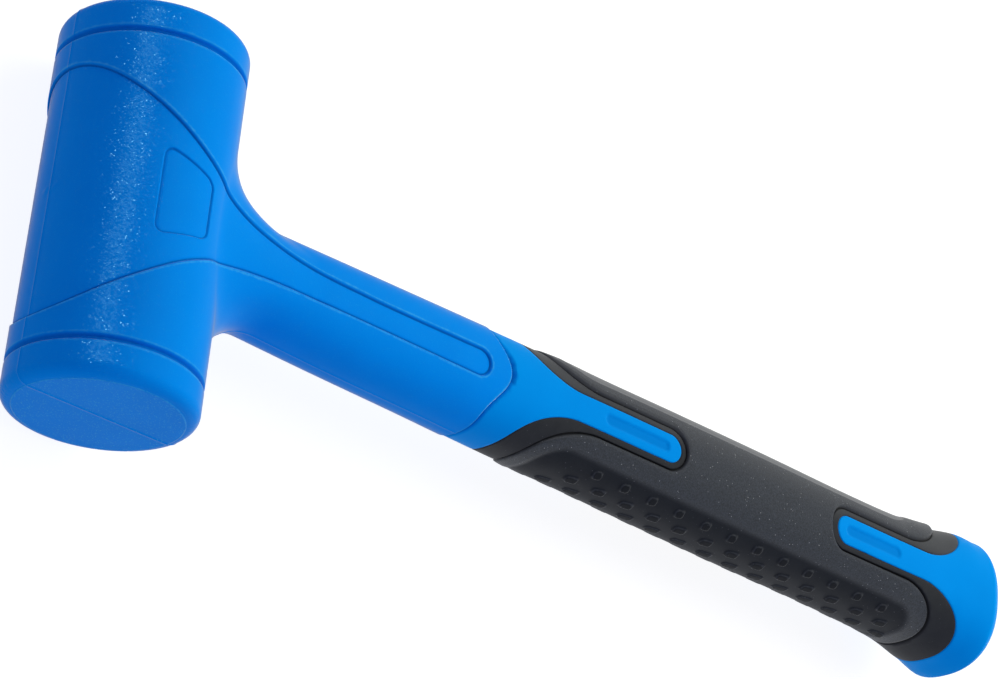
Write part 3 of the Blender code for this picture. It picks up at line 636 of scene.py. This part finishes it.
def edge_distance(flat, edge):
    """Distance on the handle's surface from a window's edge, negative within the window."""
    place = on_handle(flat, 0.0)
    height, thickness = handle_sizes(flat[:, 0])
    x, y = place[:, 0], np.abs(place[:, 1])
    line = edge_line(edge)
    best = np.full(len(flat), np.inf)
    lean = np.zeros(len(flat))
    for start, end in zip(line, line[1:]):
        step = end - start
        along = (x - start[0]) * step[0] + (y - start[1]) * step[1]
        share = np.clip(along / max(step @ step, 1e-9), 0, 1)
        away_x, away_y = x - start[0] - share * step[0], y - start[1] - share * step[1]
        away = np.hypot(away_x, away_y)
        nearer = away < best
        best = np.where(nearer, away, best)
        lean = np.where(nearer, away_y / np.maximum(away, 1e-6), lean)
    beyond = np.clip((edge.rim_half - y) / (edge.rim_half - edge.tongue), 0.0, 1.0)
    rim = edge.flare + (edge.rim - edge.flare) * (1 - beyond ** edge.power) ** (1 / edge.power)
    sign = math.copysign(1, edge.tip - edge.flare)
    tip = edge.tip - sign * edge.tongue + sign * np.sqrt(np.maximum(edge.tongue ** 2 - y ** 2, 0.0))
    reach = np.where(y < edge.tongue, tip, rim)
    side = np.where(sign * (x - reach) > 0, 1.0, -1.0)
    slope_y = (y / height) ** (SECTION_POWER - 1) / height
    slope_z = (np.abs(place[:, 2]) / thickness) ** (SECTION_POWER - 1) / thickness
    steep = slope_y / np.hypot(slope_y, slope_z)
    return side * best / np.sqrt(np.maximum(1 - (steep * lean) ** 2, 0.03))


def sleeve_distance(flat):
    return np.minimum(edge_distance(flat, FRONT_WINDOW), edge_distance(flat, REAR_WINDOW))


def pad_distance(flat):
    return np.minimum(edge_distance(flat, FRONT_PAD), edge_distance(flat, REAR_PAD))


def slot_distance(flat):
    x, y, _ = on_handle(flat, 0.0).T
    return np.minimum.reduce([
        rounded_box(x - (start + end) / 2, y, (end - start) / 2, SLOT_HALF, SLOT_HALF)
        for start, end in SLOTS])


def span_distance(flat, span, half, radius, crest):
    """Distance from a rounded strip along the handle whose middle is at an angle."""
    start, end = span
    around = MEAN_RADIUS * ((flat[:, 1] - crest + np.pi) % (2 * np.pi) - np.pi)
    return rounded_box(flat[:, 0] - (start + end) / 2, around, (end - start) / 2, half, radius)


def palm_distance(flat):
    return span_distance(flat, PALM_SPAN, PALM_HALF, PALM_ROUND, 0.0)


def belly_distance(flat):
    return span_distance(flat, BELLY_SPAN, BELLY_HALF, BELLY_ROUND, np.pi)


def stud_rows(flat):
    """Distance from the nearest slanted stud of each row, and the height of its wedge."""
    x, turn = flat.T
    for place, row in enumerate(STUD_ROWS):
        first = STUD_START + place * STUD_SHIFT
        number = np.clip(np.round((x - first) / STUD_PITCH), 0, row.count - 1)
        along = x - first - number * STUD_PITCH
        around = MEAN_RADIUS * (math.radians(row.angle) - turn)
        lengthwise = along * math.cos(STUD_SLANT) + around * math.sin(STUD_SLANT)
        crosswise = around * math.cos(STUD_SLANT) - along * math.sin(STUD_SLANT)
        lean = np.clip(2 * crosswise / STUD_WIDTH, -1.0, 1.0)
        yield (
            rounded_box(lengthwise, crosswise, row.length / 2, STUD_WIDTH / 2, STUD_ROUND),
            row.rise * (STUD_LEVEL + STUD_LEAN * lean))


def stud_distance(flat):
    return np.minimum.reduce([away for away, _ in stud_rows(flat)])


def handle_grid(start, end):
    """Flat grid over a stretch of the handle, once round."""
    xs = np.linspace(start, end, int((end - start) / HANDLE_STEP) + 1)
    turns = np.linspace(0, 2 * np.pi, TURNS + 1)
    flat = np.stack(np.meshgrid(xs, turns, indexing="ij"), axis=-1).reshape(-1, 2)
    return flat, strip(len(xs), len(turns), False)


def under_skirt(flat):
    return skirt_distance(on_handle(flat, 0.0))


def core_surface():
    """Points and triangles of the core from socket to dome, its painted shade for the skirt's gap and the
    slots, and its front edge.
    """
    flat, faces = cut_along(
        *handle_grid(CORE_START, DOME_START), (sleeve_distance, SEAM_LEVELS),
        (slot_distance, SLOT_LEVELS), (under_skirt, TUCK_LEVELS))
    seam, skirt = sleeve_distance(flat), under_skirt(flat)
    covered = np.maximum(ease(seam, 0.0, SEAM_DROP), within(skirt, TUCK_WALL))
    rolled = ease(seam, -SEAM_ROUND, 0.0) ** 2
    at_tip = within(np.abs(on_handle(flat, 0.0)[:, 1] - TIP_MIDDLE), TIP_SPREAD)
    low = TUCK_START[0] + (TUCK_START[1] - TUCK_START[0]) * at_tip
    high = SKIRT_GAP + (TIP_GAP - SKIRT_GAP) * at_tip
    tucked = within(skirt, (low, high))
    slot = within(slot_distance(flat), SLOT_WALL)
    edges = (CORE_ROLL * rolled + SKIRT_GAP * tucked) * (1 - covered)
    points = on_handle(flat, -(SLEEVE_WALL * covered + edges + SLOT_DEPTH * slot))
    front = np.flatnonzero(flat[:, 0] < CORE_START + TOUCH)
    front = front[np.argsort(flat[front, 1])]
    return points, faces, np.maximum(tucked, SLOT_SHADE * slot), front


def dome_surface():
    """Points and triangles of the crowned end of the butt."""
    height, thickness = handle_sizes(DOME_START)
    turns = np.linspace(0, 2 * np.pi, TURNS + 1)
    rings = []
    for bend in np.linspace(0, np.pi / 2, DOME_RINGS):
        scale = math.cos(bend)
        share = (1 - scale ** DOME_CROWN) ** (1 / DOME_POWER)
        x = DOME_START + (BUTT_END - DOME_START) * share
        drop = BUTT_DROP - DOME_LIFT * share
        rings.append(section(x, turns, height, thickness) * (1, scale, scale) - (0, drop, 0))
    return np.array(rings).reshape(-1, 3), strip(len(rings), len(turns), False)


def make_core(material):
    points, faces, lines, front = core_surface()
    dome, dome_faces = dome_surface()
    hub = len(points) + len(dome)
    lid = np.stack([front[1:], front[:-1], np.full(len(front) - 1, hub)], axis=1)
    faces = np.concatenate([faces, dome_faces + len(points), lid])
    points = np.concatenate([points, dome, [[CORE_START, 0.0, 0.0]]])
    lines = np.concatenate([lines, np.zeros(len(dome) + 1)])
    core = new_object("core_moulding", points, faces, material, {"crease": lines})
    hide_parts("handle_core")


def sleeve_mesh():
    """Flat points and triangles of the sleeve, split along the lines of its relief."""
    flat, faces = cut_along(*handle_grid(*SLEEVE_SPAN), (sleeve_distance, SLEEVE_LEVELS))
    flat, faces = keep(flat, faces, sleeve_distance(flat))
    return cut_along(
        flat, faces, (pad_distance, PAD_LEVELS), (palm_distance, PALM_LEVELS),
        (belly_distance, BELLY_LEVELS), (stud_distance, STUD_LEVELS))


def sleeve_relief(flat):
    """How far the sleeve stands out from the handle's outline, and where it has which looks."""
    x, turn = flat.T
    step, stud = pad_distance(flat), stud_distance(flat)
    lower, upper = ease(-np.cos(turn), *LOWER_SIDE), ease(np.cos(turn), *UPPER_SIDE)
    full = ease(x, *PAD_FRONT) * (1 - lower * ease(x, *PAD_FADE))
    full += PAD_SWELL * (1 - lower) * ease(x, *PAD_SWELL_START)
    pad = PAD_STEEP * ease(step, *PAD_WALL) + (1 - PAD_STEEP) * ease(step, *PAD_SHOULDER)
    groove_half = PAD_GROOVE_HALF + PAD_GROOVE_MORE * lower * ease(x, *PAD_GROOVE_START)
    groove = crease(step, Line(0.0, groove_half))
    palm = within(palm_distance(flat), PALM_WALL) * pad
    belly = within(belly_distance(flat), BELLY_WALL) * pad
    studs = sum(wedge * within(away, STUD_WALL) for away, wedge in stud_rows(flat))
    rolled = within(sleeve_distance(flat), (0.0, SEAM_ROUND)) ** 2
    sunk = PAD_GROOVE * groove + BELLY_SINK * belly + PALM_SINK * palm + SLEEVE_ROLL * rolled
    looks = {
        "pad": pad, "belly": belly, "palm": palm, "upper": upper,
        # The rims round the studs get a painted highlight.
        "edge": crease(stud, STUD_RIM) * pad,
        # The groove round the pads and the studs' tops get painted shade.
        "crease": np.maximum(groove, STUD_SHADE * within(stud, STUD_TOP) * pad)}
    return (PAD_RISE * full + studs) * pad - sunk, looks


def make_grip(material):
    flat, faces = sleeve_mesh()
    relief, looks = sleeve_relief(flat)
    outer = on_handle(flat, relief)
    inner = on_handle(flat, np.full(len(flat), GAP - SLEEVE_WALL))
    count = len(flat)
    open_edges = border(faces)
    turn = flat[open_edges][:, :, 1]
    seam = np.isclose(turn, 0).all(1) | np.isclose(turn, 2 * np.pi).all(1)
    faces = np.concatenate([faces, faces[:, ::-1] + count, wall(open_edges[~seam], count)])
    bare = np.zeros(count)
    looks = {label: np.concatenate([values, bare]) for label, values in looks.items()}
    grip = new_object("grip_moulding", np.concatenate([outer, inner]), faces, material, looks)
    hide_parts("grip_sleeve")


# Finishes.

NOISE_SPAN = (0.3, 0.7)  # most of what a noise gives lies between these
DOT_EDGE = (0.6, 1.2)  # where a dot fades out, in its radii
BLUE_GLOSS = (0.0, 0.8, 1.0, 1.0)  # tint of the reflections on both blues
SHELL_BLUES = ((0.0, 0.268, 0.89), (0.0, 0.288, 0.93))
SHELL_FROST = (1.0, 0.8, 0.55, 1.0)  # tint of the pale look along its outline
SHELL_GRAIN = (0.01, 0.42, 0.95)
# Painted glints of the grains on the striking faces.
SHELL_FACE_GLINT = (0.07, 0.55, 0.90)
# Painted highlight along the edges.
SHELL_EDGE_HIGHLIGHT = (0.06, 0.46, 0.92)
# Painted shade in the creases.
SHELL_CREASE_SHADE = (0.0, 0.06, 0.32)
GRAINS_PER_MM = 2.6
GRAIN_RADIUS = 0.36  # in cells, as the radius of a speck is
GRAIN_CHANCE = (0.45, 0.9)  # of the cells' random values, where grains start to show and are brightest
GRAIN_STEP = (0.4, 0.45)  # and where they start to lean
GRAIN_TILT = (0.08, 0.38)  # how much the others and the grains lean
CORE_BLUES = ((0.0, 0.295, 0.87), (0.0, 0.315, 0.91))
CORE_FROST = (1.0, 0.85, 0.6, 1.0)
# Painted shade in the gap under the skirt and in the slots.
CORE_CREASE_SHADE = (0.0, 0.07, 0.36)
PAD_TONES = ((0.0042, 0.007, 0.0125), (0.021, 0.0275, 0.042))
PAD_GRAIN_SPAN = (0.38, 0.64)
RIM_TONES = ((0.024, 0.0256, 0.030), (0.028, 0.030, 0.0345))
BELLY_TONES = ((0.0125, 0.0145, 0.019), (0.016, 0.018, 0.0225))
# Lighter than the rims: a painted sheen on the palm strip, which faces up to the light.
PALM_SHEEN_TONE = (0.07, 0.077, 0.095)
# Painted sheen on the upper side of the grip, where the light falls.
UPPER_SHEEN_TONE = (0.072, 0.075, 0.083)
SPECK_TONE = (0.36, 0.37, 0.40)
SPECKS_PER_MM = 1.3
SPECK_RADIUS = 0.15
SPECK_CHANCE = (0.72, 0.78)
# Painted highlight round the studs.
STUD_RIM_HIGHLIGHT = (0.11, 0.115, 0.125)
# Painted shade in the groove round the pads and on the studs' tops.
GRIP_CREASE_SHADE = (0.004, 0.004, 0.005)
STEEL_DULL = 0.7  # share of a steel's brightness that its dull spots have


class Finish:
    """A material with a Principled shader, and short ways to add the nodes that feed it."""

    def __init__(self, name, **sockets):
        self.material = bpy.data.materials.new(name)
        self.material.use_nodes = True
        self.nodes = self.material.node_tree.nodes
        self.links = self.material.node_tree.links
        self.shader = self.nodes["Principled BSDF"]
        for label, value in sockets.items():
            self.shader.inputs[label.replace("_", " ")].default_value = value
        coordinates = self.nodes.new("ShaderNodeTexCoord")
        self.place = coordinates.outputs["Object"]

    def link(self, source, target):
        self.links.new(source, target)

    def feed(self, label, source):
        self.link(source, self.shader.inputs[label])

    def noise(self, per_mm, detail=3.0, roughness=0.55):
        node = self.nodes.new("ShaderNodeTexNoise")
        node.inputs["Scale"].default_value = per_mm / MM
        node.inputs["Detail"].default_value = detail
        node.inputs["Roughness"].default_value = roughness
        self.link(self.place, node.inputs["Vector"])
        return node.outputs["Fac"]

    def cells(self, per_mm):
        node = self.nodes.new("ShaderNodeTexVoronoi")
        node.inputs["Scale"].default_value = per_mm / MM
        self.link(self.place, node.inputs["Vector"])
        return node

    def attribute(self, label):
        node = self.nodes.new("ShaderNodeAttribute")
        node.attribute_name = label
        return node.outputs["Fac"]

    def ranged(self, source, low, high, to_low, to_high):
        node = self.nodes.new("ShaderNodeMapRange")
        ends = {"From Min": low, "From Max": high, "To Min": to_low, "To Max": to_high}
        for label, value in ends.items():
            node.inputs[label].default_value = value
        self.link(source, node.inputs["Value"])
        return node.outputs["Result"]

    def scaled(self, source, at_none, at_full):
        """Goes from one value to the other as the source goes from 0 to 1."""
        return self.ranged(source, 0.0, 1.0, at_none, at_full)

    def clouds(self, per_mm, low=0.0, high=1.0, detail=3.0):
        """Soft patches between a low and a high value."""
        return self.ranged(self.noise(per_mm, detail), *NOISE_SPAN, low, high)

    def maths(self, operation, first, second):
        node = self.nodes.new("ShaderNodeMath")
        node.operation = operation
        for socket, value in zip(node.inputs, (first, second)):
            self.link(value, socket)
        return node.outputs["Value"]

    def times(self, first, second):
        return self.maths("MULTIPLY", first, second)

    def mix(self, share, first, second):
        node = self.nodes.new("ShaderNodeMix")
        node.data_type = "RGBA"
        self.link(share, node.inputs["Factor"])
        for label, value in (("A", first), ("B", second)):
            socket = next(s for s in node.inputs if s.name == label and s.type == "RGBA")
            if isinstance(value, tuple):
                socket.default_value = (*value, 1.0)
            else:
                self.link(value, socket)
        return next(s for s in node.outputs if s.type == "RGBA")

    def bump(self, height, depth, strength=1.0):
        node = self.nodes.new("ShaderNodeBump")
        node.inputs["Strength"].default_value = strength
        node.inputs["Distance"].default_value = depth * MM
        self.link(height, node.inputs["Height"])
        return node.outputs["Normal"]

    def dots(self, cells, radius):
        """1 in the middle of each cell, 0 beyond the dot's edge, and a random value for each cell."""
        chance = self.nodes.new("ShaderNodeTexWhiteNoise")
        self.link(cells.outputs["Color"], chance.inputs["Vector"])
        full, none = (share * radius for share in DOT_EDGE)
        near = self.ranged(cells.outputs["Distance"], full, none, 1.0, 0.0)
        return near, chance.outputs["Value"]

    def leaning(self, cells, tilt):
        """Normal that leans a random way in each cell, by a tilt that the nodes give."""
        shift = self.nodes.new("ShaderNodeVectorMath")
        shift.operation = "SUBTRACT"
        shift.inputs[1].default_value = (0.5, 0.5, 0.5)
        self.link(cells.outputs["Color"], shift.inputs[0])
        lean = self.nodes.new("ShaderNodeVectorMath")
        lean.operation = "SCALE"
        self.link(shift.outputs["Vector"], lean.inputs[0])
        self.link(tilt, lean.inputs["Scale"])
        upright = self.nodes.new("ShaderNodeNewGeometry")
        total = self.nodes.new("ShaderNodeVectorMath")
        self.link(upright.outputs["Normal"], total.inputs[0])
        self.link(lean.outputs["Vector"], total.inputs[1])
        unit = self.nodes.new("ShaderNodeVectorMath")
        unit.operation = "NORMALIZE"
        self.link(total.outputs["Vector"], unit.inputs[0])
        return unit.outputs["Vector"]


def shell_finish():
    """Moulded polyurethane: deep blue satin, pale along its outline, with fine sparkling grains in it."""
    made = Finish(
        "blue_polyurethane_shell", Specular_Tint=BLUE_GLOSS, IOR=1.04, Coat_Roughness=0.15, Coat_IOR=1.5,
        Sheen_Weight=0.9, Sheen_Roughness=0.24, Sheen_Tint=SHELL_FROST)
    colour = made.mix(made.clouds(0.05, detail=2.0), *SHELL_BLUES)
    grains = made.cells(GRAINS_PER_MM)
    near, chance = made.dots(grains, GRAIN_RADIUS)
    bright = made.times(near, made.ranged(chance, *GRAIN_CHANCE, 0.0, 1.0))
    colour = made.mix(made.scaled(bright, 0.0, 0.3), colour, SHELL_GRAIN)
    # Painted glints: the grains are lighter on the striking faces.
    face_glints = made.times(bright, made.attribute("face"))
    colour = made.mix(made.scaled(face_glints, 0.0, 0.6), colour, SHELL_FACE_GLINT)
    # Painted highlight along the edges, broken up by noise.
    edge_highlight = made.times(made.attribute("edge"), made.noise(0.9))
    colour = made.mix(made.ranged(edge_highlight, 0.2, 0.6, 0.0, 0.6), colour, SHELL_EDGE_HIGHLIGHT)
    # Painted shade in the creases.
    shade = made.scaled(made.attribute("crease"), 0.0, 0.6)
    made.feed("Base Color", made.mix(shade, colour, SHELL_CREASE_SHADE))
    made.feed("Roughness", made.clouds(1.6, 0.30, 0.38))
    made.feed("Normal", made.bump(made.noise(2.4), 0.008, 0.5))
    made.feed("Coat Normal", made.leaning(grains, made.ranged(chance, *GRAIN_STEP, *GRAIN_TILT)))
    made.feed("Coat Weight", made.scaled(bright, 0.010, 0.14))
    return made.material


def core_finish():
    """Smoother, brighter blue plastic of the handle's core."""
    made = Finish(
        "blue_plastic_core", Specular_Tint=BLUE_GLOSS, IOR=1.08,
        Sheen_Weight=0.3, Sheen_Roughness=0.15, Sheen_Tint=CORE_FROST)
    colour = made.mix(made.clouds(0.06, detail=2.0), *CORE_BLUES)
    # Painted shade in the gap under the skirt and in the slots.
    shade = made.scaled(made.attribute("crease"), 0.0, 0.7)
    made.feed("Base Color", made.mix(shade, colour, CORE_CREASE_SHADE))
    made.feed("Roughness", made.clouds(2.0, 0.40, 0.50))
    made.feed("Normal", made.bump(made.noise(3.0), 0.005, 0.5))
    return made.material


def grip_finish():
    """Charcoal rubber: smooth rims and palm strip, grained pads with pale specks, a smoother belly."""
    made = Finish("black_rubber_grip", Sheen_Weight=0.08, Sheen_Roughness=0.3)
    pad, belly, palm = made.attribute("pad"), made.attribute("belly"), made.attribute("palm")
    grained = made.times(pad, made.scaled(belly, 1.0, 0.1))
    grained = made.times(grained, made.scaled(palm, 1.0, 0.15))
    grain = made.noise(2.6, 4.0, 0.65)
    rough = made.mix(made.ranged(grain, *PAD_GRAIN_SPAN, 0.0, 1.0), *PAD_TONES)
    cloud = made.clouds(0.4)
    # The palm strip gets a painted sheen, lighter than the rims.
    smooth = made.mix(palm, made.mix(cloud, *RIM_TONES), PALM_SHEEN_TONE)
    smooth = made.mix(belly, smooth, made.mix(cloud, *BELLY_TONES))
    colour = made.mix(grained, smooth, rough)
    # Painted sheen on the upper side, where the light falls, most on the smooth rims and strip.
    upper_sheen = made.times(made.attribute("upper"), made.scaled(grained, 0.8, 0.18))
    colour = made.mix(upper_sheen, colour, UPPER_SHEEN_TONE)
    near, chance = made.dots(made.cells(SPECKS_PER_MM), SPECK_RADIUS)
    speck = made.times(near, made.ranged(chance, *SPECK_CHANCE, 0.0, 0.7))
    speck = made.times(speck, made.scaled(grained, 0.2, 1.0))
    colour = made.mix(speck, colour, SPECK_TONE)
    # Painted highlight round the studs, broken up by noise.
    edge_highlight = made.times(made.attribute("edge"), made.noise(1.2))
    colour = made.mix(made.ranged(edge_highlight, 0.1, 0.6, 0.0, 0.4), colour, STUD_RIM_HIGHLIGHT)
    # Painted shade in the groove round the pads and on the studs' tops.
    shade = made.scaled(made.attribute("crease"), 0.0, 0.85)
    made.feed("Base Color", made.mix(shade, colour, GRIP_CREASE_SHADE))
    made.feed("Roughness", made.scaled(grained, 0.50, 0.52))
    gloss = made.maths("ADD", made.scaled(grained, 0.06, 0.36), made.scaled(palm, 0.0, 0.5))
    made.feed("Specular IOR Level", made.times(gloss, made.scaled(belly, 1.0, 0.6)))
    made.feed("Normal", made.bump(made.times(grain, grained), 0.09, 0.8))
    return made.material


def steel_finish(name, colour, roughness, grain):
    """Bare steel with a drawn or tumbled grain."""
    made = Finish(name, Metallic=1.0)
    grey = made.noise(grain, 4.0)
    dull = tuple(STEEL_DULL * value for value in colour)
    made.feed("Base Color", made.mix(made.ranged(grey, *NOISE_SPAN, 0.0, 1.0), dull, colour))
    made.feed("Roughness", made.ranged(grey, *NOISE_SPAN, roughness - 0.08, roughness + 0.12))
    made.feed("Normal", made.bump(grey, 0.02, 0.5))
    return made.material


def dress_inner_pieces():
    """Finishes of the sealed steel pieces, which keep the solids' own shapes."""
    canister = steel_finish("drawn_canister_steel", (0.56, 0.57, 0.59), 0.36, 0.8)
    rod = steel_finish("cold_drawn_rod_steel", (0.46, 0.47, 0.49), 0.42, 1.2)
    bead = steel_finish("rough_weld_metal", (0.32, 0.30, 0.28), 0.58, 0.5)
    shot = steel_finish("tumbled_shot_steel", (0.62, 0.63, 0.65), 0.28, 1.6)
    for name, node in frame["nodes"].items():
        finish = {"canister": canister, "handle": rod, "rod": bead, "shot": shot}.get(name.split("_")[0])
        if finish and not node.hide_render:
            node.data.materials.clear()
            node.data.materials.append(finish)


# Stage: floor, light and camera.

WHITE = (1.0, 1.0, 1.0, 1.0)
FLOOR_HALF = 3.0
FLOOR_DROP = 0.0003  # how far the floor lies under the hammer
FLOOR_GREYS = ((0.28, 0.28, 0.28), (0.29, 0.29, 0.29))
FLOOR_GLOW = 0.35  # light the floor gives off for every ray
FLOOR_WHITE = 0.54  # and how much more of its white the camera sees, so that the shadow stays pale
CAMERA_PLACE = Vector((-328.66, -295.56, 501.31))
CAMERA_RIGHT = Vector((0.72760, 0.08960, 0.68013))
CAMERA_UP = Vector((-0.34986, 0.90127, 0.25555))
CAMERA_LENS = 117.99
WORLD_FILL = (0.57, 0.63, 1.0)
WORLD_STRENGTH = 0.42
BENCH_AIM = (0.0, 0.0, 0.02)
HEAD_AIM = (-0.12, 0.0, 0.02)
# Panels: place, aim and size in metres, whether they light surfaces, whether they show in gloss, and
# the one piece that they reach, if not all.
Lamp = namedtuple("Lamp", "name place aim width height radiance colour lights gleams only")
LAMPS = (
    Lamp("key_panel", (0.62, 0.42, 0.82), BENCH_AIM, 1.2, 1.2, 2.8, (1.0, 1.0, 0.74), True, False, None),
    Lamp("low_fill", (0.25, -1.0, 0.45), BENCH_AIM, 0.9, 0.5, 1.1, (0.85, 0.92, 1.0), True, True, None),
    Lamp("overhead_box", (-0.27, 0.42, 0.88), HEAD_AIM, 0.9, 0.3, 4.0, (1.0, 1.0, 1.0), False, True, None),
    Lamp(
        "front_strip", (-0.60, 0.36, 0.57), HEAD_AIM, 0.3, 0.3, 110.0, (0.35, 0.9, 1.0), False, True,
        "head_moulding"),
)


def background_rays(tree):
    """1 for the rays that see the background: from the camera, off gloss or through glass."""
    path = tree.nodes.new("ShaderNodeLightPath")
    seen = path.outputs["Is Camera Ray"]
    for label in ("Is Glossy Ray", "Is Transmission Ray"):
        either = tree.nodes.new("ShaderNodeMath")
        either.operation = "MAXIMUM"
        tree.links.new(seen, either.inputs[0])
        tree.links.new(path.outputs[label], either.inputs[1])
        seen = either.outputs["Value"]
    return seen


def make_floor():
    bpy.ops.mesh.primitive_plane_add(size=2 * FLOOR_HALF, location=(0.0, 0.0, -FLOOR_DROP))
    floor = bpy.context.object
    floor.name = "floor"
    made = Finish("pale_floor", Roughness=0.9, Specular_IOR_Level=0.0, Emission_Color=WHITE)
    made.feed("Base Color", made.mix(made.clouds(0.002), *FLOOR_GREYS))
    seen = background_rays(made.material.node_tree)
    made.feed("Emission Strength", made.scaled(seen, FLOOR_GLOW, FLOOR_GLOW + FLOOR_WHITE))
    floor.data.materials.append(made.material)


def make_world():
    world = bpy.data.worlds.new("studio")
    bpy.context.scene.world = world
    world.use_nodes = True
    tree = world.node_tree
    fill = tree.nodes["Background"]
    fill.inputs["Color"].default_value = (*WORLD_FILL, 1.0)
    fill.inputs["Strength"].default_value = WORLD_STRENGTH
    white = tree.nodes.new("ShaderNodeBackground")
    white.inputs["Color"].default_value = WHITE
    white.inputs["Strength"].default_value = 1.0
    either = tree.nodes.new("ShaderNodeMixShader")
    tree.links.new(background_rays(tree), either.inputs["Fac"])
    tree.links.new(fill.outputs["Background"], either.inputs[1])
    tree.links.new(white.outputs["Background"], either.inputs[2])
    tree.links.new(either.outputs["Shader"], tree.nodes["World Output"].inputs["Surface"])


def make_lamps():
    for lamp in LAMPS:
        light = bpy.data.lights.new(lamp.name, "AREA")
        light.shape = "RECTANGLE"
        light.size, light.size_y = lamp.width, lamp.height
        light.energy = math.pi * lamp.width * lamp.height * lamp.radiance
        light.color = lamp.colour
        thing = bpy.data.objects.new(lamp.name, light)
        thing.location = lamp.place
        thing.rotation_euler = (Vector(lamp.aim) - thing.location).to_track_quat("-Z", "Y").to_euler()
        thing.visible_camera = False
        thing.visible_diffuse = lamp.lights
        thing.visible_glossy = lamp.gleams
        if lamp.only:
            lit = bpy.data.collections.new(lamp.name)
            lit.objects.link(bpy.data.objects[lamp.only])
            thing.light_linking.receiver_collection = lit
        bpy.context.scene.collection.objects.link(thing)


def make_camera():
    data = bpy.data.cameras.new("camera")
    data.lens = CAMERA_LENS
    thing = bpy.data.objects.new("camera", data)
    back = CAMERA_RIGHT.cross(CAMERA_UP)
    facing = Matrix((CAMERA_RIGHT, CAMERA_UP, back)).transposed()
    thing.matrix_world = Matrix.Translation(HEAD_CENTRE + CAMERA_PLACE * MM) @ facing.to_4x4()
    bpy.context.scene.collection.objects.link(thing)
    bpy.context.scene.camera = thing


def clear_start_objects():
    """Removes what the scene held besides the frame."""
    kept = set(frame["nodes"].values()) | set(frame["bodies"].values())
    for thing in list(bpy.data.objects):
        if thing not in kept:
            bpy.data.objects.remove(thing, do_unlink=True)


clear_start_objects()
make_head(shell_finish())
make_core(core_finish())
make_grip(grip_finish())
dress_inner_pieces()
make_floor()
make_world()
make_lamps()
make_camera()
bpy.context.scene.view_settings.view_transform = "Standard"
bpy.context.view_layer.update()
